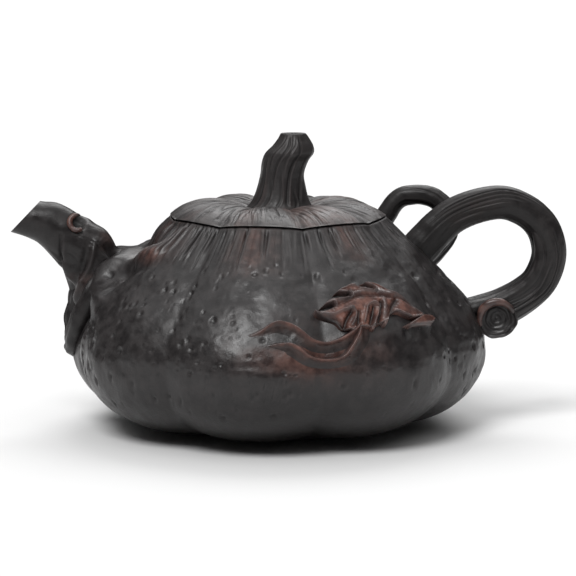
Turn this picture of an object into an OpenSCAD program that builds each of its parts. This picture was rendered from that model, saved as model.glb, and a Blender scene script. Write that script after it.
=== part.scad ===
// Pumpkin-shaped clay teapot: a lobed hollow pot, a cut-branch spout, a vine handle,
// a leaf with tendrils on the front, and a lobed lid with a stem for a knob.
// Millimetres, +Z up. The origin is the middle of the foot, on the surface that it stands on.
// The spout points to -X, the handle to +X, and the leaf is on the -Y side.

/* [Pot] */
// Largest outer radius, measured on a lobe
belly_r = 59.8; // [48:0.1:72]
// Height of the widest level
belly_z = 23.6; // [19:0.1:29]
// Radius at which the lobes turn onto the flat base
base_r = 28; // [23:0.5:34]
// Height of the low foot under the base
foot_h = 0.8; // [0.5:0.1:1.6]
// Width of the foot's ring
foot_w = 5; // [3:0.5:8]
// Thickness of the clay
wall = 3.2; // [2.6:0.1:3.9]

/* [Lobes] */
// Number of lobes
lobes = 8; // [6:1:10]
// Direction of one valley between two lobes, in degrees from +X
valley_az = -77; // [-90:1:-60]
// Depth of the valleys at the belly
valley_belly = 3.2; // [2:0.1:4]
// Depth of the valleys at the base and at the mouth
valley_edge = 1.5; // [0.8:0.1:1.8]
// Fullness of a lobe: lower is fuller, with a sharper valley
lobe_round = 0.7; // [0.5:0.05:1]

/* [Mouth and lid] */
// Radius of the mouth's seam, measured on a lobe
rim_r = 31; // [26:0.1:37]
// Height of the mouth's seam, measured on a lobe
rim_z = 60.5; // [50:0.1:73]
// Upright gap in the seam between pot and lid
seam_gap = 0.45; // [0.4:0.05:0.8]
// Gap between the lid's flange and the mouth ring
flange_gap = 0.4; // [0.3:0.05:0.6]
// Thickness of the lid's flange
flange_t = 2.4; // [1.8:0.1:3]
// How far the flange reaches below the seam
flange_drop = 8; // [6:0.5:10]
// How far the lid's lobes stand above the seam
lid_rise = 6.5; // [4:0.1:9]
// Radius of the vent through the stem and the lid
vent_r = 0.9; // [0.7:0.1:1.2]

/* [Stem] */
// Height of the stem above the lid's sunk middle
stem_h = 21; // [17:0.5:26]
// Radius of the stem's neck
stem_r = 6.1; // [5:0.1:7.3]

/* [Spout] */
// Reach of the spout's tip from its root
spout_reach = 21.2; // [17:0.1:25.5]
// Rise of the spout's tip above its root
spout_rise = 20.1; // [16.5:0.1:24.2]
// Half the height of the spout where it leaves the pot
spout_r = 8.9; // [8:0.1:10.6]
// Thickness of the spout's wall
spout_wall = 2; // [1.6:0.1:2.4]
// Radius of the strainer inside the pot
strainer_r = 7.4; // [6.8:0.1:8.6]

/* [Handle] */
// Distance that the handle's middle line reaches past the belly
handle_reach = 18.1; // [15:0.1:21.8]
// Radius of the handle vine
handle_r = 4.9; // [4:0.1:5.9]
// Radius of the small side vine
vine_r = 2.9; // [2.4:0.1:3.4]
// Radius of the cut branch below the handle
stub_r = 5.7; // [4.8:0.1:6.8]

/* [Hidden] */

dark_clay = "#413d3e";
lit_clay = "#4d494a";
red_clay = "#6b463e";

// Outline of the pot as two cubic curves that meet at the belly: [radius, height]
low_curve = [[base_r, foot_h], [base_r + 15, foot_h], [belly_r, belly_z - 16.6],
    [belly_r, belly_z]];
high_curve = [[belly_r, belly_z], [belly_r, belly_z + 12.8], [rim_r + 9.6, rim_z - 10.1],
    [rim_r, rim_z]];
seam_z = rim_z + seam_gap;
lid_mid_z = rim_z + 2.5;
lid_mid_r = 9.5;
lid_curve = [[rim_r, seam_z], [rim_r - 3.5, rim_z + 3.7], [rim_r - 11, rim_z + lid_rise],
    [lid_mid_r, lid_mid_z + 0.2]];
under_mid_z = rim_z - 0.9;

cols = lobes * 10;
rise_span = rim_z - belly_z;
luting = wall / 2;
sink = 0.4;

// Port through the pot's wall behind the spout: two columns wide, one row high
port_s = [0.65, 0.75];
port_cols = 2;
port_col = round((180 - valley_az) / 360 * cols) - port_cols / 2;
port_az = valley_az + 360 * (port_col + port_cols / 2) / cols;
spout_s = 0.715;
outer_rows = [0, 0.1, 0.2, 0.3, 0.4, 0.5, 0.55, 0.6, port_s[0], port_s[1], 0.8, 0.85, 0.9,
    0.95, 1];
inner_rows = [1, 0.85, port_s[1], port_s[0], 0.45, 0.3, 0.15, 0];

// ---- Curves and frames ----

function unit(v) = v / norm(v);

function bezier(p, t) = pow(1 - t, 3) * p[0] + 3 * pow(1 - t, 2) * t * p[1]
    + 3 * (1 - t) * t * t * p[2] + t * t * t * p[3];

function bezier_dir(p, t) = pow(1 - t, 2) * (p[1] - p[0]) + 2 * (1 - t) * t * (p[2] - p[1])
    + t * t * (p[3] - p[2]);

// Smooth curve through all the points of p, for t from 0 to 1
function through(p, t) =
    let (n = len(p) - 1, i = min(floor(t * n), n - 1), f = t * n - i)
    let (a = p[max(i - 1, 0)], b = p[i], c = p[i + 1], d = p[min(i + 2, n)])
    b + (c - a) * f / 2 + (2 * a - 5 * b + 4 * c - d) * f * f / 2
    + (3 * b - a - 3 * c + d) * f * f * f / 2;

// ---- The lobed skin of the pot: az is the direction, s runs from base 0 to mouth 1 ----

function swell(az) = pow(abs(sin(lobes * (az - valley_az) / 2)), lobe_round);

function valley(s) = valley_edge + (valley_belly - valley_edge) * (1 - abs(2 * s - 1));

function skin_rz(s) = s < 0.5 ? bezier(low_curve, 2 * s) : bezier(high_curve, 2 * s - 1);

function skin_out(s) =
    let (d = unit(s < 0.5 ? bezier_dir(low_curve, 2 * s) : bezier_dir(high_curve, 2 * s - 1)))
    [d[1], -d[0]];

function wall_rz(az, s, lift) = skin_rz(s)
    + (lift - valley(s) * (1 - swell(az))) * skin_out(s);

function spun(q, az) = [q[0] * cos(az), q[0] * sin(az), q[1]];

function wall_pt(az, s, lift) = spun(wall_rz(az, s, lift), az);

function wall_normal(az, s) = spun(skin_out(s), az);

// ---- Skins over rings of points ----

function quad(a, b, c, d) = [[a, b, c], [a, c, d]];

function band(i, next, k, j) =
    quad(i * k + j, next * k + j, next * k + (j + 1) % k, i * k + (j + 1) % k);

function total(v, i = 0) = i == len(v) - 1 ? v[i] : v[i] + total(v, i + 1);

function middle(ring) = total(ring) / len(ring);

// Rings joined one to the next, with both ends closed
module tube(rings) {
    n = len(rings);
    k = len(rings[0]);
    first_mid = n * k;
    last_mid = n * k + 1;
    skin_points = [for (ring = rings, p = ring) p];
    mids = [middle(rings[0]), middle(rings[n - 1])];
    polyhedron(
        points = concat(skin_points, mids),
        faces = concat(
            [for (i = [0:n - 2], j = [0:k - 1]) each band(i, i + 1, k, j)],
            [for (j = [0:k - 1]) [first_mid, j, (j + 1) % k]],
            [for (j = [0:k - 1]) [last_mid, (n - 1) * k + (j + 1) % k, (n - 1) * k + j]]
        )
    );
}

// Rings joined one to the next and the last to the first
module closed_loop(rings) {
    n = len(rings);
    k = len(rings[0]);
    polyhedron(
        points = [for (ring = rings, p = ring) p],
        faces = [for (i = [0:n - 1], j = [0:k - 1]) each band(i, (i + 1) % n, k, j)]
    );
}

// Rings of a limb swept along a path; side is kept level with the ring's first direction
function limb_rings(path, radii, side, steps, sides, flat = 1) =
    [for (i = [0:steps])
        let (t = i / steps, c = through(path, t))
        let (d = unit(through(path, min(t + 0.01, 1)) - through(path, max(t - 0.01, 0))))
        let (n = unit(side - (side * d) * d), b = cross(d, n), r = through(radii, t))
        [for (j = [0:sides - 1])
            let (u = 360 * j / sides)
            c + r * (flat * cos(u) * n + sin(u) * b)]];

// A path that lies on the pot, from rows of [az, s, lift]
function on_wall(rows) = [for (q = rows) wall_pt(q[0], q[1], q[2])];

// ---- Pot ----

function wall_row(s, lift) = [for (j = [0:cols - 1])
    wall_pt(valley_az + 360 * j / cols, s, lift)];

module pot_wall() {
    outer_n = len(outer_rows);
    inner_n = len(inner_rows);
    n = outer_n + inner_n;
    rings = concat([for (s = outer_rows) wall_row(s, 0)], [for (s = inner_rows) wall_row(s, -wall)]);
    outer_i = search(port_s[0], outer_rows)[0];
    inner_i = outer_n + search(port_s[1], inner_rows)[0];
    in_port = [for (i = [0:n - 1]) i == outer_i || i == inner_i];
    // The port's rim, outside and inside, in the same order
    across = [for (j = [0:port_cols]) port_col + j];
    back = [for (j = [port_cols:-1:0]) port_col + j];
    rim_out = concat([for (j = across) outer_i * cols + j], [for (j = back) (outer_i + 1) * cols + j]);
    rim_in = concat([for (j = across) (inner_i + 1) * cols + j], [for (j = back) inner_i * cols + j]);
    m = len(rim_out);
    color(dark_clay) polyhedron(
        points = [for (ring = rings, p = ring) p],
        faces = concat(
            [for (i = [0:n - 1], j = [0:cols - 1])
                if (!(in_port[i] && j >= port_col && j < port_col + port_cols))
                    each band(i, (i + 1) % n, cols, j)],
            [for (j = [0:m - 1])
                each quad(rim_out[j], rim_in[j], rim_in[(j + 1) % m], rim_out[(j + 1) % m])]
        )
    );
}

// Plate luted into the wall's lower edge
module base_disc() {
    color(dark_clay) translate([0, 0, foot_h])
        cylinder(r = base_r * cos(180 / cols), h = wall, $fn = 96);
}

module foot_ring() {
    outer = base_r - 1;
    color(dark_clay) rotate_extrude($fn = 96)
        translate([outer - foot_w, 0]) square([foot_w, foot_h]);
}

// Collar inside the mouth that the lid's flange drops into
collar_top = wall_rz(valley_az + 180 / lobes, 0.96, sink - wall);
collar_low = wall_rz(valley_az + 180 / lobes, 0.91, sink - wall);
mouth_bore_r = wall_rz(valley_az, 1, -wall)[0] - 0.8;

module mouth_ring() {
    color(dark_clay) rotate_extrude($fn = 96)
        polygon([[mouth_bore_r, collar_top[1]], collar_top, collar_low,
            [mouth_bore_r, collar_low[1] + 1.4]]);
}

// Half ball with holes, luted over the port inside the pot
module strainer_dome() {
    shell = 1.2;
    hole_r = 1.2;
    hole_ring = 6;
    seat = wall_pt(port_az, (port_s[0] + port_s[1]) / 2, sink - wall);
    out = wall_normal(port_az, (port_s[0] + port_s[1]) / 2);
    tilt = acos(-out[2]);
    color(dark_clay) translate(seat) rotate([0, tilt, port_az + 180]) difference() {
        sphere(r = strainer_r, $fn = 48);
        sphere(r = strainer_r - shell, $fn = 48);
        translate([-strainer_r, -strainer_r, -2 * strainer_r]) cube(2 * strainer_r);
        cylinder(r = hole_r, h = 2 * strainer_r, $fn = 24);
        for (i = [1:hole_ring])
            rotate([0, 45, 360 * i / hole_ring]) cylinder(r = hole_r, h = 2 * strainer_r, $fn = 24);
    }
}

// ---- Spout: stations from the pot to the tip, [x, z, tilt, half height, half width] ----

spout_root = wall_pt(180, spout_s, 0);
spout_line = [
    [-0.10 * spout_reach, 0.28 * spout_rise, 38, spout_r, 8.4],
    [-0.21 * spout_reach, 0.53 * spout_rise, 39, 0.97 * spout_r, 7.6],
    [-0.41 * spout_reach, 0.70 * spout_rise, 45, 0.83 * spout_r, 6.8],
    [-0.69 * spout_reach, 0.91 * spout_rise, 54, 0.73 * spout_r, 6.0],
    [-spout_reach, spout_rise, 46, 0.69 * spout_r, 5.6]
];
spout_sides = 20;
spout_steps = 9;

function spout_ring(t, thin) =
    let (q = through(spout_line, t), up = [cos(q[2]), 0, sin(q[2])])
    let (c = spout_root + [q[0], 0, q[1]])
    [for (j = [0:spout_sides - 1])
        let (u = 360 * j / spout_sides)
        c + (q[3] - thin) * sin(u) * up + (q[4] - thin) * cos(u) * [0, -1, 0]];

// Where the spout meets the pot: a loop inside the thickness of the wall, clear of the strainer
foot_az = (strainer_r + 1.1) / -spout_root[0] * 180 / PI;
foot_s = (strainer_r + 0.85) / (2 * norm(high_curve[3] - high_curve[0]));

function spout_foot(az_half, s_half) =
    [for (j = [0:spout_sides - 1])
        let (u = 360 * j / spout_sides)
        wall_pt(180 + az_half * cos(u), spout_s + s_half * sin(u), -luting)];

module spout() {
    outer = [for (i = [0:spout_steps]) spout_ring(i / spout_steps, 0)];
    inner = [for (i = [spout_steps:-1:0]) spout_ring(i / spout_steps, spout_wall)];
    color(dark_clay) closed_loop(concat([spout_foot(foot_az + 1.7, foot_s + 0.027)], outer, inner,
        [spout_foot(foot_az, foot_s)]));
}

// Rolled lip of clay round a knot hole, on the spout's upper front
module spout_knot() {
    q = spout_line[2];
    around = 42;
    up = [cos(q[2]), 0, sin(q[2])];
    out = cos(around) * [0, -1, 0] + sin(around) * up;
    place = spout_root + [q[0], 0, q[1]] + (q[3] + 0.1) * sin(around) * up
        + (q[4] + 0.1) * cos(around) * [0, -1, 0] - [0.8, 0, -1.3];
    color(red_clay) translate(place)
        rotate([0, acos(out[2]), atan2(out[1], out[0])])
        rotate_extrude($fn = 40) translate([2.1, 0]) circle(r = 0.75, $fn = 16);
}

module root_main() {
    path = on_wall([[181, 0.67, 4.2], [182, 0.625, 2.2], [182, 0.58, 1.3], [183, 0.53, 0.4],
        [186, 0.48, -0.4], [190, 0.44, -1.2]]);
    color(dark_clay) tube(limb_rings(path, [3.6, 2.9, 2.6, 2.2, 1.8, 0.9], [0, 1, 0], 14, 12));
}

module root_front() {
    path = on_wall([[189.5, 0.75, 1.6], [199, 0.71, 0.8], [204, 0.665, 0.6], [200, 0.63, 0.3],
        [194, 0.6, -0.6]]);
    color(dark_clay) tube(limb_rings(path, [1.8, 1.5, 1.3, 1.3, 0.7], [0, 0, 1], 12, 10));
}

module root_back() {
    path = on_wall([[170, 0.75, 1.6], [163, 0.7, 0.8], [160, 0.65, 0.5], [163, 0.6, 0.2],
        [168, 0.56, -0.6]]);
    color(dark_clay) tube(limb_rings(path, [2, 1.8, 1.6, 1.4, 0.7], [0, 0, 1], 12, 10));
}

// ---- Handle: points past the belly in x, and shares of the belly-to-mouth height in z ----

handle_line = [[0.12, 1.1], [0.56, 1.05], [0.87, 0.92], [1, 0.73], [0.92, 0.55],
    [0.71, 0.415], [0.27, 0.28]];
handle_top = wall_pt(0, 0.86, -luting);
handle_neck = wall_pt(0, 0.854, 13.1);
handle_low = wall_pt(0, 0.61, -luting);

function handle_point(q, inset, y) =
    [belly_r + handle_reach * q[0], y, belly_z + rise_span * q[1]]
    + inset * unit([0.25 - q[0], 0, 0.72 - q[1]] + [0, 0, 0.001]);

module handle_vine() {
    path = concat([handle_top, handle_neck], [for (q = handle_line) handle_point(q, 0, 0)],
        [handle_low]);
    radii = handle_r * [1.1, 1.04, 1, 0.96, 0.98, 1, 1.04, 1.06, 1.12, 1.12];
    color(dark_clay) tube(limb_rings(path, radii, [0, 1, 0], 30, 14, 0.88));
}

// Thinner strand that hugs the lower inside of the handle
module handle_strand() {
    inset = 0.5 * handle_r;
    front = -0.55 * handle_r;
    path = concat([for (i = [2:6]) handle_point(handle_line[i], inset, front)],
        [wall_pt(-5, 0.64, -luting)]);
    color(dark_clay) tube(limb_rings(path, handle_r * [0.16, 0.42, 0.48, 0.5, 0.5, 0.5],
        [0, 1, 0], 18, 10));
}

// Small loop beside the handle's upper root
module side_vine() {
    crest = [[18.9, 13.5, -5], [18.2, 14, -0.2], [14.5, 14.5, 3.4], [9.2, 15, 4.4]];
    path = concat([wall_pt(16, 0.8, -luting), wall_pt(15.2, 0.798, 7.3)],
        [for (q = crest) [rim_r, 0, rim_z] + q],
        [wall_pt(23.9, 0.964, 7.5), wall_pt(27, 0.945, -luting)]);
    color(dark_clay) tube(limb_rings(path, vine_r * [1.15, 1.08, 1, 1, 1, 1, 1, 1.05],
        [0, 1, 0], 22, 12));
}

// Sawn-off branch end that faces the front, below the handle's lower root
stub_at = wall_pt(0, 0.582, 4.9);
stub_front = -8.6;
stub_l = 8.2;

module branch_stub() {
    color(dark_clay) translate([stub_at[0], stub_front + stub_l, stub_at[2]]) rotate([90, 0, 0])
        cylinder(r1 = 0.9 * stub_r, r2 = stub_r, h = stub_l, $fn = 48);
}

module stub_lip() {
    lip_r = 0.9;
    color(red_clay) translate([stub_at[0], stub_front, stub_at[2]]) rotate([90, -15, 0])
        rotate_extrude(angle = 210, $fn = 48)
        translate([stub_r - lip_r, 0]) circle(r = lip_r, $fn = 16);
}

// ---- Leaf: rows of [az, s, half width above, half width below] from its tip to its stalk ----

leaf_line = [[-79.5, 0.713, 0.004, 0.004], [-75, 0.733, 0.024, 0.024], [-70, 0.742, 0.038, 0.06],
    [-65, 0.744, 0.044, 0.078], [-60, 0.738, 0.048, 0.078], [-55, 0.728, 0.04, 0.066],
    [-50, 0.71, 0.036, 0.044], [-46, 0.694, 0.022, 0.02], [-42, 0.674, 0.006, 0.006]];

module leaf_blade() {
    thick = 1.5;
    across = 6;
    crown = [for (k = [0:across]) let (w = 2 * k / across - 1) [w, thick * (1 - 0.55 * w * w)]];
    color(red_clay) tube([for (i = [0:16])
        let (q = through(leaf_line, i / 16))
        concat(
            [for (c = crown) wall_pt(q[0], q[1] - c[0] * (c[0] < 0 ? q[2] : q[3]), c[1])],
            [for (k = [across:-1:0]) let (c = crown[k])
                wall_pt(q[0], q[1] - c[0] * (c[0] < 0 ? q[2] : q[3]), -sink)])]);
}

// Stalk that turns back under the leaf and ends in a square cut
module leaf_stalk() {
    path = on_wall([[-43, 0.678, 0.6], [-40, 0.664, 0.8], [-40.5, 0.645, 1], [-45, 0.63, 1.1],
        [-51, 0.612, 1.2]]);
    color(dark_clay) tube(limb_rings(path, [0.9, 1.2, 1.5, 1.7, 1.9], [0, 0, 1], 14, 10));
}

module tendril_upper() {
    path = on_wall([[-101, 0.64, -0.2], [-95, 0.655, 0.1], [-89, 0.674, 0.3], [-82.5, 0.655, 0.3],
        [-76, 0.625, 0.3], [-72, 0.633, 0.3], [-68.5, 0.655, 0.4]]);
    color(red_clay) tube(limb_rings(path, [0.4, 1.1, 1.5, 1.5, 1.5, 1.4, 1.2], [0, 0, 1], 24, 10));
}

module tendril_lower() {
    path = on_wall([[-93.5, 0.61, -0.2], [-87, 0.616, 0.1], [-82, 0.594, 0.2], [-77.5, 0.566, 0.2],
        [-73, 0.572, 0.2], [-69, 0.605, 0.3], [-66.5, 0.64, 0.4]]);
    color(red_clay) tube(limb_rings(path, [0.4, 1.1, 1.4, 1.5, 1.4, 1.3, 1.1], [0, 0, 1], 24, 10));
}

// ---- Lid ----

rim_out = skin_out(1);

// Point on the lid's top: p runs from the seam 0 to the ring round the stem 1
function lid_pt(az, p) =
    let (depth = valley_edge + 1.2 * sin(180 * p) - 0.6 * p)
    let (inward = -[rim_out[0] * (1 - p), rim_out[1] + (1 - rim_out[1]) * p])
    spun(bezier(lid_curve, p) + depth * (1 - swell(az)) * inward, az);

// Point on the lid's underside: p runs from the seam 0 to the middle 1
function under_pt(az, p) =
    let (edge = skin_rz(1) - wall * rim_out + [0, seam_gap])
    let (curve = [edge, [edge[0] - 2.7, edge[1] + 1.9], [16, rim_z + 0.4], [vent_r, under_mid_z]])
    spun(bezier(curve, p) - valley_edge * (1 - p) * (1 - swell(az)) * rim_out, az);

function lid_az(j) = valley_az + 360 * j / cols;

module lid_dome() {
    top = [for (p = [0, 0.14, 0.28, 0.42, 0.56, 0.7, 0.85, 1])
        [for (j = [0:cols - 1]) lid_pt(lid_az(j), p)]];
    vent = [for (z = [lid_mid_z, under_mid_z]) [for (j = [0:cols - 1]) spun([vent_r, z], lid_az(j))]];
    under = [for (p = [0.7, 0.45, 0.2, 0]) [for (j = [0:cols - 1]) under_pt(lid_az(j), p)]];
    color(lit_clay) closed_loop(concat(top, vent, under));
}

module lid_flange() {
    outer = mouth_bore_r - flange_gap;
    low = rim_z - flange_drop;
    top = rim_z - sink;
    color(dark_clay) rotate_extrude($fn = 96)
        translate([outer - flange_t, low]) square([flange_t, top - low]);
}

// Stem: rows of [height share, shift in x, radius share] from the lid to the cut top
stem_line = [[-0.06, 0.4, 1.64], [0, 0.5, 1.54], [0.06, 0.7, 1.38], [0.15, 0.9, 1.24],
    [0.29, 1.1, 1.1], [0.45, 1.3, 1], [0.62, 2.1, 1.06], [0.74, 3.4, 1.12], [0.84, 4.3, 0.94],
    [0.93, 4.5, 0.74], [1, 4.4, 0.6]];
stem_ribs = 9;

module lid_stem() {
    sides = 36;
    lean = atan2(4.4, stem_h);
    color(dark_clay) difference() {
        tube([for (i = [0:14])
            let (q = through(stem_line, i / 14), turn = 40 * q[0])
            [for (j = [0:sides - 1])
                let (u = 360 * j / sides, r = stem_r * q[2] * (1 + 0.045 * cos(stem_ribs * (u - turn))))
                [q[1] + r * cos(u), 0.92 * r * sin(u), lid_mid_z + stem_h * q[0]]]]);
        translate([0, 0, lid_mid_z - 4]) rotate([0, lean, 0])
            cylinder(r = vent_r, h = stem_h + 12, $fn = 24);
    }
}

pot_wall();
base_disc();
foot_ring();
mouth_ring();
strainer_dome();
spout();
spout_knot();
root_main();
root_front();
root_back();
handle_vine();
handle_strand();
side_vine();
branch_stub();
stub_lip();
leaf_blade();
leaf_stalk();
tendril_upper();
tendril_lower();
lid_dome();
lid_flange();
lid_stem();
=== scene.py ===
import math

import bpy
import numpy as np
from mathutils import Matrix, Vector


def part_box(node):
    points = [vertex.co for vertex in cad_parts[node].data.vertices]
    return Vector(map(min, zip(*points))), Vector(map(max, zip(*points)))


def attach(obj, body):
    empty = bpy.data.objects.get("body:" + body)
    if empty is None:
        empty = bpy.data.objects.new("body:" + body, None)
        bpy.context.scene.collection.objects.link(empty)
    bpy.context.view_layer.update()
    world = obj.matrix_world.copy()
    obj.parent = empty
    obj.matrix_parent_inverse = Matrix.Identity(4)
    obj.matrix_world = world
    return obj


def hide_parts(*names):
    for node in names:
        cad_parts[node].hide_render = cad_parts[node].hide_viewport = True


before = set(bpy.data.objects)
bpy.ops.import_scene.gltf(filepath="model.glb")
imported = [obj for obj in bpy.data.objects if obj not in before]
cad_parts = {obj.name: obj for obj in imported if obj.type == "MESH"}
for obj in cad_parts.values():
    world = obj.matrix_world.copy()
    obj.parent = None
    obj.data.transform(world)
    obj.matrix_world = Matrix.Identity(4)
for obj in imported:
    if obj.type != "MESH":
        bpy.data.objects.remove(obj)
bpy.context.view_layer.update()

# Shapes are worked out in millimetres, and turned to metres when their mesh is made.


def nodePoints(node):
    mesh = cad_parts[node].data
    flat = np.zeros(len(mesh.vertices) * 3)
    mesh.vertices.foreach_get("co", flat)
    return flat.reshape(-1, 3) * 1000


def nodeBox(node):
    low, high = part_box(node)
    return np.array(low) * 1000, np.array(high) * 1000


def unit(v):
    return v / np.maximum(np.linalg.norm(v, axis=-1, keepdims=True), 1e-9)


def smooth(x, low, high):
    t = np.clip((x - low) / (high - low), 0, 1)
    return t * t * (3 - 2 * t)


def between(x, low, high, lower, higher):
    # rises from low to high, and falls again from lower to higher
    return smooth(x, low, high) * (1 - smooth(x, lower, higher))


def bell(x, width=1.0, power=2):
    return np.exp(-(x / width)**power)


def ringPoint(radius, turn, height):
    # points round the upright axis; turn is in radians
    return np.stack([radius * np.cos(turn), radius * np.sin(turn), height + 0 * turn], -1)


def through(knots, t):
    # smooth curve through the knots, for t from 0 to 1
    knots = np.asarray(knots, float)
    last = len(knots) - 1
    f = np.clip(np.asarray(t, float), 0, 1) * last
    i = np.minimum(f.astype(int), last - 1)
    f = f - i
    if knots.ndim > 1:
        f = f[..., None]
    a, b = knots[np.maximum(i - 1, 0)], knots[i]
    c, d = knots[i + 1], knots[np.minimum(i + 2, last)]
    return b + (c - a) * f / 2 + (2 * a - 5 * b + 4 * c - d) * f**2 / 2 + (3 * b - a - 3 * c + d) * f**3 / 2


def smoothLine(line, count=24):
    return through(line, np.linspace(0, 1, count))


def clayNoise(points, size, seed):
    # soft lumps of about that size, from -1 to 1
    q = points / size
    cell = np.floor(q).astype(np.int64)
    f = q - cell
    f = f * f * f * (f * (f * 6 - 15) + 10)
    total = 0
    for corner in range(8):
        step = np.array([corner & 1, corner >> 1 & 1, corner >> 2])
        c = cell + step
        h = (c @ np.array([374761393, 668265263, 1442695041]) + seed * 974711) & 0xffffffff
        h = ((h ^ (h >> 13)) * 1274126177) & 0xffffffff
        value = ((h ^ (h >> 16)) & 0xffff) / 32767.5 - 1
        total = total + value * np.prod(np.where(step == 1, f, 1 - f), axis=-1)
    return total


def alongPath(points, path):
    # distance to a line of points, and how far along it the nearest place is
    best = np.full(points.shape[:-1], 1e9)
    share = np.zeros(points.shape[:-1])
    side = np.zeros(points.shape[:-1])
    for k in range(len(path) - 1):
        a, ab = path[k], path[k + 1] - path[k]
        t = np.clip(((points - a) @ ab) / (ab @ ab), 0, 1)
        off = points - a - t[..., None] * ab
        d = np.linalg.norm(off, axis=-1)
        closer = d < best
        best = np.where(closer, d, best)
        share = np.where(closer, (k + t) / (len(path) - 1), share)
        if points.shape[-1] == 2:
            side = np.where(closer, np.sign(ab[0] * off[..., 1] - ab[1] * off[..., 0]), side)
    return best, share, side


def makePiece(name, body, node, finish, points, faces, paint):
    mesh = bpy.data.meshes.new(name)
    mesh.from_pydata((points.reshape(-1, 3) / 1000).tolist(), [], faces)
    mesh.update()
    mesh.polygons.foreach_set("use_smooth", [True] * len(mesh.polygons))
    for word, values in paint.items():
        layer = mesh.attributes.new(word, "FLOAT", "POINT")
        layer.data.foreach_set("value", np.ascontiguousarray(values, np.float32).ravel())
    piece = bpy.data.objects.new(name, mesh)
    bpy.context.scene.collection.objects.link(piece)
    mesh.materials.append(finish)
    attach(piece, body)
    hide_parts(node)
    print("  ", name, len(mesh.polygons), "faces")


def bandFaces(rows, columns, closed=False):
    # quads between rings of points, facing out where each ring turns right-handed along the path
    i, j = np.meshgrid(np.arange(rows if closed else rows - 1), np.arange(columns), indexing="ij")
    i, j = i.ravel(), j.ravel()
    up, over = (i + 1) % rows, (j + 1) % columns
    return np.stack([i * columns + j, i * columns + over, up * columns + over, up * columns + j], -1)


def closedPiece(name, body, node, finish, rings, paint):
    # rings of points as one closed skin, with a fan to a middle point at each end
    rows, columns = rings.shape[:2]
    points = np.concatenate([rings.reshape(-1, 3), [rings[0].mean(0), rings[-1].mean(0)]])
    j = np.arange(columns)
    over, last = (j + 1) % columns, (rows - 1) * columns
    foot = np.stack([np.full(columns, rows * columns), over, j], -1)
    head = np.stack([np.full(columns, rows * columns + 1), last + j, last + over], -1)
    faces = bandFaces(rows, columns).tolist() + foot.tolist() + head.tolist()
    paint = {word: np.append(row, [row[0].mean(), row[-1].mean()]) for word, row in paint.items()}
    makePiece(name, body, node, finish, points, faces, paint)


def padded(paint, before, after, axis=0):
    # bare clay before and after the painted rows or columns
    room = [(0, 0), (0, 0)]
    room[axis] = (before, after)
    return {word: np.pad(values, room) for word, values in paint.items()}


def gridNormals(grid):
    # outward normals of rings of points
    around = np.roll(grid, -1, 1) - np.roll(grid, 1, 1)
    along = np.gradient(grid, axis=0)
    return unit(np.cross(around, along))


def furrows(noise, sharp):
    # thin lines where the noise crosses zero
    return np.maximum(0, 1 - sharp * np.abs(noise))**2
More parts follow.
